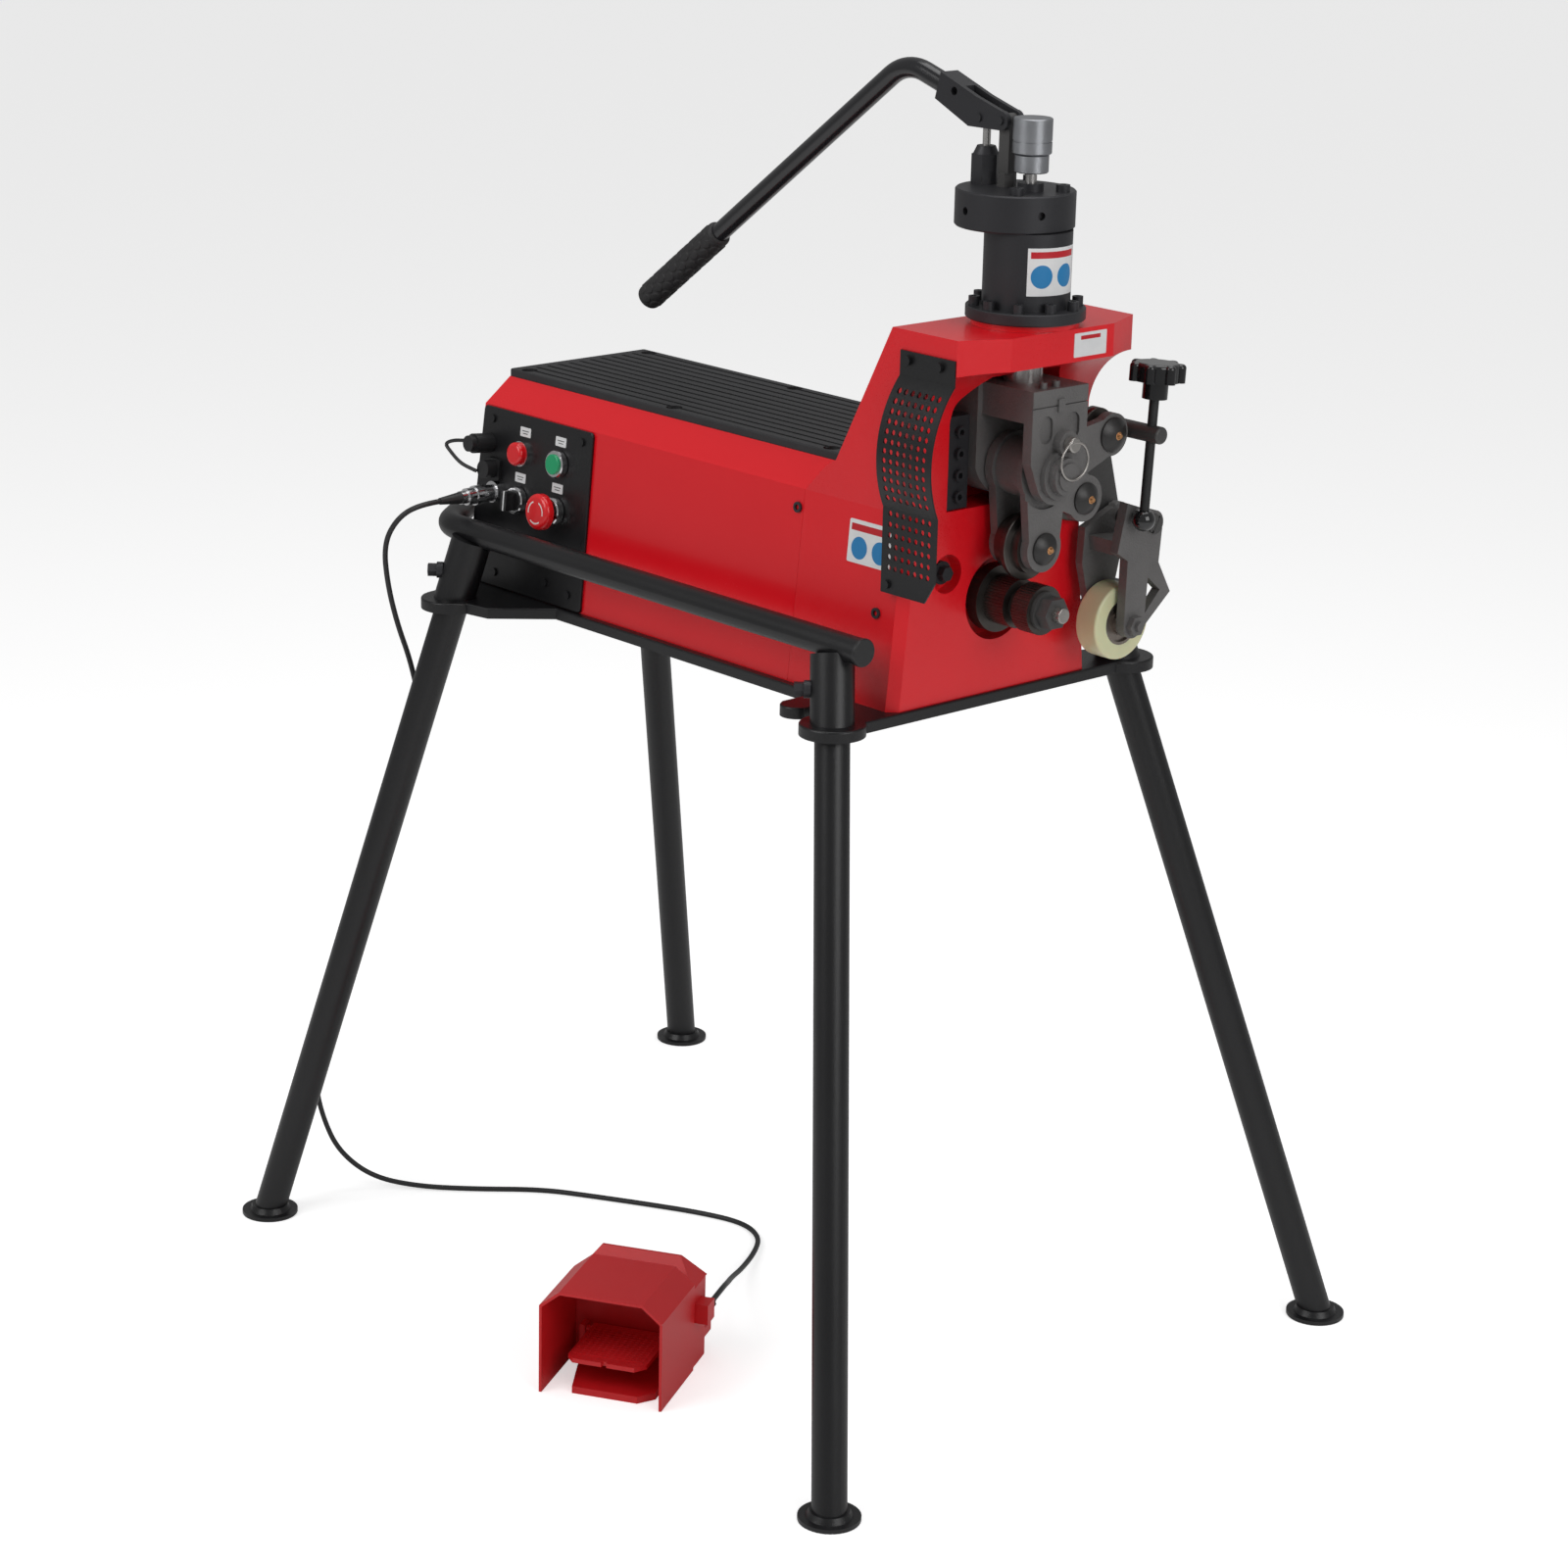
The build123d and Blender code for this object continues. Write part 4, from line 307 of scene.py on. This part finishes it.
casting("phosphated_casting", (0.165, 0.160, 0.158), 0.52, 420.0, 0.00035)
casting("phosphated_bar", (0.085, 0.083, 0.082), 0.46, 700.0, 0.00014)
turned("roll_steel", (0.105, 0.095, 0.088), 0.33, (0, 0, 0.846))
turned("shaft_steel", (0.42, 0.40, 0.38), 0.28, (0, 0, 0.846))
turned("stem_steel", (0.55, 0.54, 0.53), 0.24, (0.35, 0, 0), along="z")
turned("stop_nut_alloy", (0.34, 0.35, 0.37), 0.34, (0.35, 0, 0), along="z", stain=0.10, depth=0.00005)
turned("hub_steel", (0.30, 0.26, 0.23), 0.30, (0, 0.131, 0.810))
turned("bright_plate", (0.78, 0.78, 0.79), 0.14, (0, 0, 0.9), stain=0.06, metal=1.0)
print("finishes", len(finishes))

# %% [markdown]
# ## Rubber, urethane and lenses
# The wheel's tyre is cream urethane, which lets a little light in. Rubber is black with a broad
# dusty unevenness. Buttons are clear-coated plastic, and a fine drift keeps them from looking
# like flat colour.


# %% Soft and clear finishes
def moulded(name, colour, rough, drift=0.10, clear=0.0, inside=0.0, depth=0.00003):
    """Moulded plastic or rubber: a broad drift of colour and a fine skin."""
    f = Finish(name, coat_weight=clear, subsurface_weight=inside, subsurface_scale=0.01)
    broad = f.noise(28.0, 3.0)
    fine = f.noise(1300.0, 2.0)
    dark = tuple(c * (1 - drift) for c in colour)
    light = tuple(min(1.0, c * (1 + drift)) for c in colour)
    f.paint(
        colour=f.mix(broad, dark, light),
        rough=(broad - 0.5) * 0.15 + rough,
        height=fine + broad * 0.3,
        depth=depth,
    )
    return f


moulded("mat_rubber", (0.020, 0.020, 0.022), 0.55, drift=0.35, depth=0.00012)
moulded("grip_rubber", (0.022, 0.021, 0.022), 0.60, drift=0.3, depth=0.0001)
moulded("cable_rubber", (0.018, 0.018, 0.019), 0.45, drift=0.2)
moulded("cream_urethane", (0.72, 0.71, 0.44), 0.32, drift=0.08, clear=0.2, inside=0.15)
moulded("start_green", (0.004, 0.36, 0.14), 0.25, clear=0.5)
moulded("lamp_red", (0.78, 0.006, 0.012), 0.18, clear=0.7, inside=0.1)
print("finishes", len(finishes))

# %% [markdown]
# ## Printed plates
# The plates are white film with plain printed shapes: a band, two discs and short strokes in
# place of words. Each shape is a mask worked out from where the point is, so the print is sharp
# at any distance and needs no picture.


# %% Masks for rectangles and discs
def patch(a, b, a_range, b_range):
    """1 inside a rectangle of the two coordinates, 0 outside."""
    return (a > a_range[0]) * (a < a_range[1]) * (b > b_range[0]) * (b < b_range[1])


def disc(a, b, centre, radius):
    """1 within the radius of a centre, 0 outside."""
    da, db = a - centre[0], b - centre[1]
    return (da * da + db * db).root() < radius


# %% The film of the flat plates
film = Finish("plate_film")
wear = film.noise(60.0, 3.0)
white = film.mix(wear, (0.72, 0.73, 0.74), (0.86, 0.86, 0.86))
on_side = film.x < 0.35
band = patch(film.x, film.z, (0.243, 0.299), (0.9195, 0.9265)) * on_side
spots = disc(film.x, film.z, (0.2565, 0.9025), 0.0115) + disc(film.x, film.z, (0.2865, 0.9025), 0.0115)
front_bar = patch(film.y, film.z, (0.024, 0.052), (1.1205, 1.1245)) * (film.x > 0.4)
strokes = None
for at_x, at_z in ((-0.281, 0.9271), (-0.219, 0.9271), (-0.284, 0.8758), (-0.219, 0.8758)):
    for lift, half in ((0.0014, 0.0058), (-0.0014, 0.0042)):
        line = patch(film.x, film.z, (at_x - half, at_x + half), (at_z + lift - 0.0005, at_z + lift + 0.0005))
        strokes = line if strokes is None else strokes + line
colour = film.mix((band + front_bar).held(), white, (0.55, 0.01, 0.02))
colour = film.mix((spots * on_side).held(), colour, (0.02, 0.22, 0.50))
colour = film.mix(strokes.held(), colour, (0.10, 0.10, 0.10))
film.paint(colour=colour, rough=wear * 0.15 + 0.28, height=film.noise(900.0), depth=0.00001)
print("film ready")

# %% [markdown]
# The emergency stop carries three white arcs round its face, and the mode switch one white line
# along its handle. Both sit on the control panel, whose wall leans in a little towards the top,
# so a height above the floor stands for a height along the wall.

# %% Marks on the controls
stop = Finish("stop_red", coat_weight=0.5)
px, pz = stop.x + 0.219, stop.z - 0.8534
away = (px * px + pz * pz).root()
arcs = (away > 0.0112) * (away < 0.0128) * ((pz.angle(px) * 3.0).wave() > -0.45) * (stop.y < -0.1585)
drift = stop.noise(30.0, 2.0)
shade = stop.mix(drift, (0.70, 0.006, 0.010), (0.84, 0.010, 0.016))
stop.paint(
    colour=stop.mix(arcs, shade, (0.85, 0.80, 0.78)),
    rough=drift * 0.1 + 0.2,
    height=stop.noise(800.0),
    depth=0.00002,
)

switch = Finish("switch_black", coat_weight=0.3)
line = ((switch.x + 0.284).size() < 0.0011) * (switch.y < -0.1530)
drift = switch.noise(30.0, 2.0)
shade = switch.mix(drift, (0.010, 0.010, 0.011), (0.018, 0.018, 0.019))
switch.paint(
    colour=switch.mix(line, shade, (0.85, 0.85, 0.85)),
    rough=drift * 0.1 + 0.25,
    height=switch.noise(900.0),
    depth=0.00002,
)

cap = Finish("pin_cap")
tip = cap.x > 0.3988
drift = cap.noise(80.0, 3.0)
shade = cap.mix(drift, (0.030, 0.029, 0.029), (0.055, 0.053, 0.052))
cap.paint(
    colour=cap.mix(tip, shade, (0.70, 0.36, 0.16)),
    rough=drift * 0.25 + 0.26,
    metal=tip * 0.55 + 0.4,
    height=cap.noise(700.0, 3.0),
    depth=0.00006,
)
print("marks ready")

# %% [markdown]
# ## Which piece gets which finish
# Every CAD node keeps its shape and gets one material. The table reads as a parts list.

# %% Dress the CAD nodes
dress = {
    "red_enamel": ["head_casting"],
    "red_sheet": ["rear_cover"],
    "black_powder": [
        "base_plate", "leg_left", "leg_near", "leg_back", "leg_right",
        "carry_rail", "side_guard", "control_panel",
    ],
    "black_gloss": ["handle_tube"],
    "blued_steel": [
        "body_screws", "pump_head", "pump_flange", "pump_cylinder",
        "plunger_gland", "lever_head", "gib_plates",
    ],
    "phosphated_casting": ["turret", "yoke", "swing_arm"],
    "phosphated_bar": ["stabiliser_bracket", "fulcrum_post", "drive_nut", "gear_motor"],
    "roll_steel": ["drive_roll", "upper_roll_a", "upper_roll_b", "upper_roll_c"],
    "shaft_steel": ["drive_shaft", "drive_bush", "index_pin"],
    "stem_steel": ["ram", "pump_plunger"],
    "stop_nut_alloy": ["depth_nut", "lock_ring"],
    "hub_steel": ["wheel_hub"],
    "bright_plate": ["bezels", "foot_plug"],
    "mat_rubber": ["top_mat"],
    "grip_rubber": ["handle_grip"],
    "cable_rubber": ["cable_glands", "cable_ties", "foot_cable"],
    "cream_urethane": ["wheel_tyre"],
    "knob_gloss": ["star_knob", "spindle_foot"],
    "black_moulding": ["rail_caps", "panel_sockets", "stop_stem", "stabiliser_spindle"],
    "red_moulding": ["pedal_hood", "pedal_base", "treadle"],
    "start_green": ["start_button"],
    "lamp_red": ["pilot_lamp"],
    "stop_red": ["stop_mushroom"],
    "switch_black": ["mode_switch"],
    "pin_cap": ["roll_pins"],
    "plate_film": ["label_plates"],
}
for finish, names in dress.items():
    for name in names:
        mesh = nodes[name].data
        mesh.materials.clear()
        mesh.materials.append(finishes[finish])
left_over = sorted(set(nodes) - {n for names in dress.values() for n in names})
print("dressed", len(nodes) - len(left_over), "without a finish", left_over)

# %% [markdown]
# ## The foot switch's cable
# A round rubber cable leaves the plug at the panel, drops behind the left leg, where two
# saddle clips hold it, and runs over the floor to the foot switch. It is a smooth curve through a few points:
# a stiff thing like this never shows a corner. Its two ends go into a tapered relief and a gland.

# %% The cable as one smooth curve
route = np.array(
    [
        (-325, -215.4, 853),
        (-325, -245.4, 853),
        (-337, -265.4, 838),
        (-357, -268.4, 806),
        (-366, -257.4, 758),
        (-370, -241.4, 708),
        (-372, -222, 662),
        (-351.4, -222.8, 610),
        (-431.2, -311, 205),
        (-446, -309, 148),
        (-456, -291, 96),
        (-458, -268, 48),
        (-438, -236, 14),
        (-400, -199, 4),
        (-352, -150, 3),
        (-300, -88, 3),
        (-247, -54, 3),
        (-187, -18, 3),
        (-130, 14, 3),
        (-77, 34, 3),
        (-34, 22, 3.5),
        (-2, -14, 6),
        (30, -62, 11),
        (66, -110, 27),
        (104, -150, 46),
        (134.2, -181.1, 63),
        (154.3, -215.6, 63),
    ]
)
line = bpy.data.curves.new("foot_cable_run", "CURVE")
line.dimensions = "3D"
line.bevel_depth = 0.003
line.bevel_resolution = 5
line.resolution_u = 16
line.use_fill_caps = True
spline = line.splines.new("NURBS")
spline.points.add(len(route) - 1)
spline.points.foreach_set("co", np.hstack([route / 1000.0, np.ones((len(route), 1))]).ravel())
spline.order_u = 3
spline.use_endpoint_u = True
line.materials.append(finishes["cable_rubber"])
cable = bpy.data.objects.new("foot_cable_run", line)
bpy.context.scene.collection.objects.link(cable)
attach(cable, "frame")
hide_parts("foot_cable")
print("cable points", len(route))

# %% [markdown]
# ## The hand grip
# The pump handle ends in a rubber sleeve with a honeycomb of raised pads. Three waves at sixty
# degrees to each other add up to a honeycomb, and lifting the surface where their sum is high
# gives pads with narrow gaps between them.


# %% A honeycomb sleeve
def grip_surface(rows=260, columns=180, radius=0.0143, length=0.148, pad=0.0009):
    """Tube whose radius is a base plus a pad height, both falling to nothing at rounded ends."""
    t = np.linspace(0, 1, rows)[:, None]
    turn = np.linspace(0, 2 * np.pi, columns, endpoint=False)[None, :]
    along = t * length
    around = 8 * turn / (2 * np.pi)
    forth = along / 0.0122
    waves = (
        np.cos(2 * np.pi * (around + forth * 0.5))
        + np.cos(2 * np.pi * (around - forth * 0.5))
        + np.cos(2 * np.pi * forth)
    )
    pads = np.clip((waves + 0.9) * 1.6, 0, 1)
    pads = pads * pads * (3 - 2 * pads)
    edge = np.minimum(along, length - along)
    rounding = np.sqrt(np.clip(1 - (1 - np.clip(edge / 0.004, 0, 1)) ** 2, 0, 1))
    plain = np.clip((edge - 0.006) / 0.002, 0, 1)
    size = (radius - 0.004 + 0.004 * rounding) * np.where(edge <= 0, 0, 1) + pad * pads * plain
    way = np.array([0.79934, 0.0, 0.60087])
    across = np.array([0.0, 1.0, 0.0])
    third = np.cross(way, across)
    start = np.array([-0.228, 0.0, 1.071])
    ring = np.cos(turn)[..., None] * across + np.sin(turn)[..., None] * third
    return start + along[..., None] * way + size[..., None] * ring


grip = surface("honeycomb_grip", grip_surface(), "pump_lever", "grip_rubber", round_v=True, flip=True)
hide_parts("handle_grip")

# %% [markdown]
# ## The curved plate on the pump
# A printed film is wrapped a quarter of the way round the black cylinder. It is a patch of a
# slightly larger cylinder: an angle one way and a height the other. Its print follows the arc
# length, so the discs stay round.

# %% Film round the cylinder
wrap = Finish("wrapped_film")
arc = wrap.y.angle(wrap.x - 0.35) * 0.0445
worn = wrap.noise(60.0, 3.0)
paper = wrap.mix(worn, (0.74, 0.75, 0.76), (0.87, 0.87, 0.87))
top_band = patch(arc, wrap.z, (-0.0325, 0.0225), (1.2030, 1.2095))
blue = disc(arc, wrap.z, (-0.0205, 1.1850), 0.0115) + disc(arc, wrap.z, (0.0085, 1.1850), 0.0115)
tint = wrap.mix(top_band.held(), paper, (0.55, 0.01, 0.02))
wrap.paint(
    colour=wrap.mix(blue.held(), tint, (0.02, 0.22, 0.50)),
    rough=worn * 0.15 + 0.25,
    height=wrap.noise(900.0),
    depth=0.00001,
)


def wrapped(rows=48, columns=2, start=-0.80, end=0.60, low=1.166, high=1.213):
    """Patch of a cylinder about the pump's axis, thin and closed: out, up, in and down again."""
    turn = np.linspace(start, end, rows)[:, None]
    loop_r = np.array([0.0440, 0.0443, 0.0443, 0.0440])[None, :]
    loop_z = np.array([low, low, high, high])[None, :]
    return np.stack(
        [0.35 + loop_r * np.cos(turn), loop_r * np.sin(turn), loop_z + 0 * turn], axis=-1
    )


plate = surface("cylinder_plate", wrapped(), "frame", "wrapped_film", round_v=True)
plate.data.polygons.foreach_set("use_smooth", np.zeros(len(plate.data.polygons), bool))

# %% [markdown]
# ## The socket cap's strap
# A thin moulded strap keeps the cap of the power socket from getting lost. It leaves the cap,
# makes a small open loop beside the body and comes back to the socket below. A round section is
# carried along a path through seven points.


# %% A loop of strap
def smooth_path(points, steps):
    """Catmull-Rom curve: between two points it leaves along the line joining their neighbours."""
    p = np.vstack([2 * points[0] - points[1], points, 2 * points[-1] - points[-2]])
    t = np.linspace(0, 1, steps, endpoint=False)[:, None]
    runs = [
        0.5
        * (
            2 * p[i]
            + (p[i + 1] - p[i - 1]) * t
            + (2 * p[i - 1] - 5 * p[i] + 4 * p[i + 1] - p[i + 2]) * t**2
            + (3 * p[i] - p[i - 1] - 3 * p[i + 1] + p[i + 2]) * t**3
        )
        for i in range(1, len(p) - 2)
    ]
    return np.vstack(runs + [points[-1:]])


def tube(path, radius, columns=12):
    """Round section carried along a path, its ends drawn in to a point and so closed."""
    side, third = frame_along(path)
    turn = np.linspace(0, 2 * np.pi, columns, endpoint=False)
    size = np.full(len(path), radius)
    size[[0, -1]] = 0.00001
    ring = np.cos(turn)[None, :, None] * side[:, None] + np.sin(turn)[None, :, None] * third[:, None]
    return path[:, None] + size[:, None, None] * ring


strap_points = np.array(
    [
        (-340, -152, 908),
        (-352, -157, 909),
        (-372, -160, 906),
        (-385, -160, 900),
        (-378, -160, 893),
        (-358, -160, 883),
        (-338, -153, 876),
    ]
)
strap_tube = tube(smooth_path(strap_points / 1000.0, 14), 0.0021)
strap = surface("cap_strap", strap_tube, "frame", "black_moulding", round_v=True)

# %% [markdown]
# ## Studio
# The floor is pale and plain. A wide soft light above and to the left models the body, a weaker
# one on the right opens the shadows of the head. The world that lights the machine is dim, so
# the reds stay deep and the blacks stay black, while the camera sees a bright background.

# %% Floor, lights and world
floor_mesh = bpy.data.meshes.new("studio_floor")
span = 14.0
floor_mesh.from_pydata(
    [(-span, -span, 0), (span, -span, 0), (span, span, 0), (-span, span, 0)], [], [(0, 1, 2, 3)]
)
pale = bpy.data.materials.new("pale_floor")
pale.use_nodes = True
pn, pl = pale.node_tree.nodes, pale.node_tree.links
plain = pn["Principled BSDF"]
bright = pn.new("ShaderNodeBsdfPrincipled")
for shader in (plain, bright):
    shader.inputs["Base Color"].default_value = (0.92, 0.92, 0.92, 1)
    shader.inputs["Roughness"].default_value = 0.9
bright.inputs["Emission Color"].default_value = (1, 1, 1, 1)
bright.inputs["Emission Strength"].default_value = 0.55
by_camera = pn.new("ShaderNodeMixShader")
pl.new(pn.new("ShaderNodeLightPath").outputs["Is Camera Ray"], by_camera.inputs[0])
pl.new(plain.outputs[0], by_camera.inputs[1])
pl.new(bright.outputs[0], by_camera.inputs[2])
pl.new(by_camera.outputs[0], pn["Material Output"].inputs["Surface"])
floor_mesh.materials.append(pale)
studio_floor = bpy.data.objects.new("studio_floor", floor_mesh)
bpy.context.scene.collection.objects.link(studio_floor)


def soft_light(name, place, aim, size, power):
    """Square area light at a place, turned so that it faces the aim."""
    data = bpy.data.lights.new(name, "AREA")
    data.shape = "SQUARE"
    data.size = size
    data.energy = power
    lamp = bpy.data.objects.new(name, data)
    bpy.context.scene.collection.objects.link(lamp)
    away = np.array(place, float) - np.array(aim, float)
    away /= np.linalg.norm(away)
    side = np.cross([0.0, 0.0, 1.0], away)
    side /= np.linalg.norm(side)
    over = np.cross(away, side)
    turned_to = np.array([side, over, away]).T
    lamp.matrix_world = Matrix([[*row, p] for row, p in zip(turned_to, place)] + [[0, 0, 0, 1]])
    return lamp


soft_light("key", (-0.6, -3.2, 2.9), (0.1, 0.0, 0.8), 2.2, 46)
soft_light("front", (3.4, -0.2, 2.2), (0.2, 0.0, 0.8), 2.0, 34)
soft_light("over", (0.2, 0.4, 3.6), (0.1, 0.0, 0.8), 2.4, 32)
world = bpy.data.worlds.new("studio")
world.use_nodes = True
wn, wl = world.node_tree.nodes, world.node_tree.links
seen = wn["Background"]
seen.inputs["Color"].default_value = (1.0, 1.0, 1.0, 1)
seen.inputs["Strength"].default_value = 0.98
around = wn.new("ShaderNodeBackground")
around.inputs["Color"].default_value = (1.0, 1.0, 1.0, 1)
around.inputs["Strength"].default_value = 0.28
choice = wn.new("ShaderNodeMixShader")
wl.new(wn.new("ShaderNodeLightPath").outputs["Is Camera Ray"], choice.inputs[0])
wl.new(around.outputs[0], choice.inputs[1])
wl.new(seen.outputs[0], choice.inputs[2])
wl.new(choice.outputs[0], wn["World Output"].inputs["Surface"])
bpy.context.scene.world = world
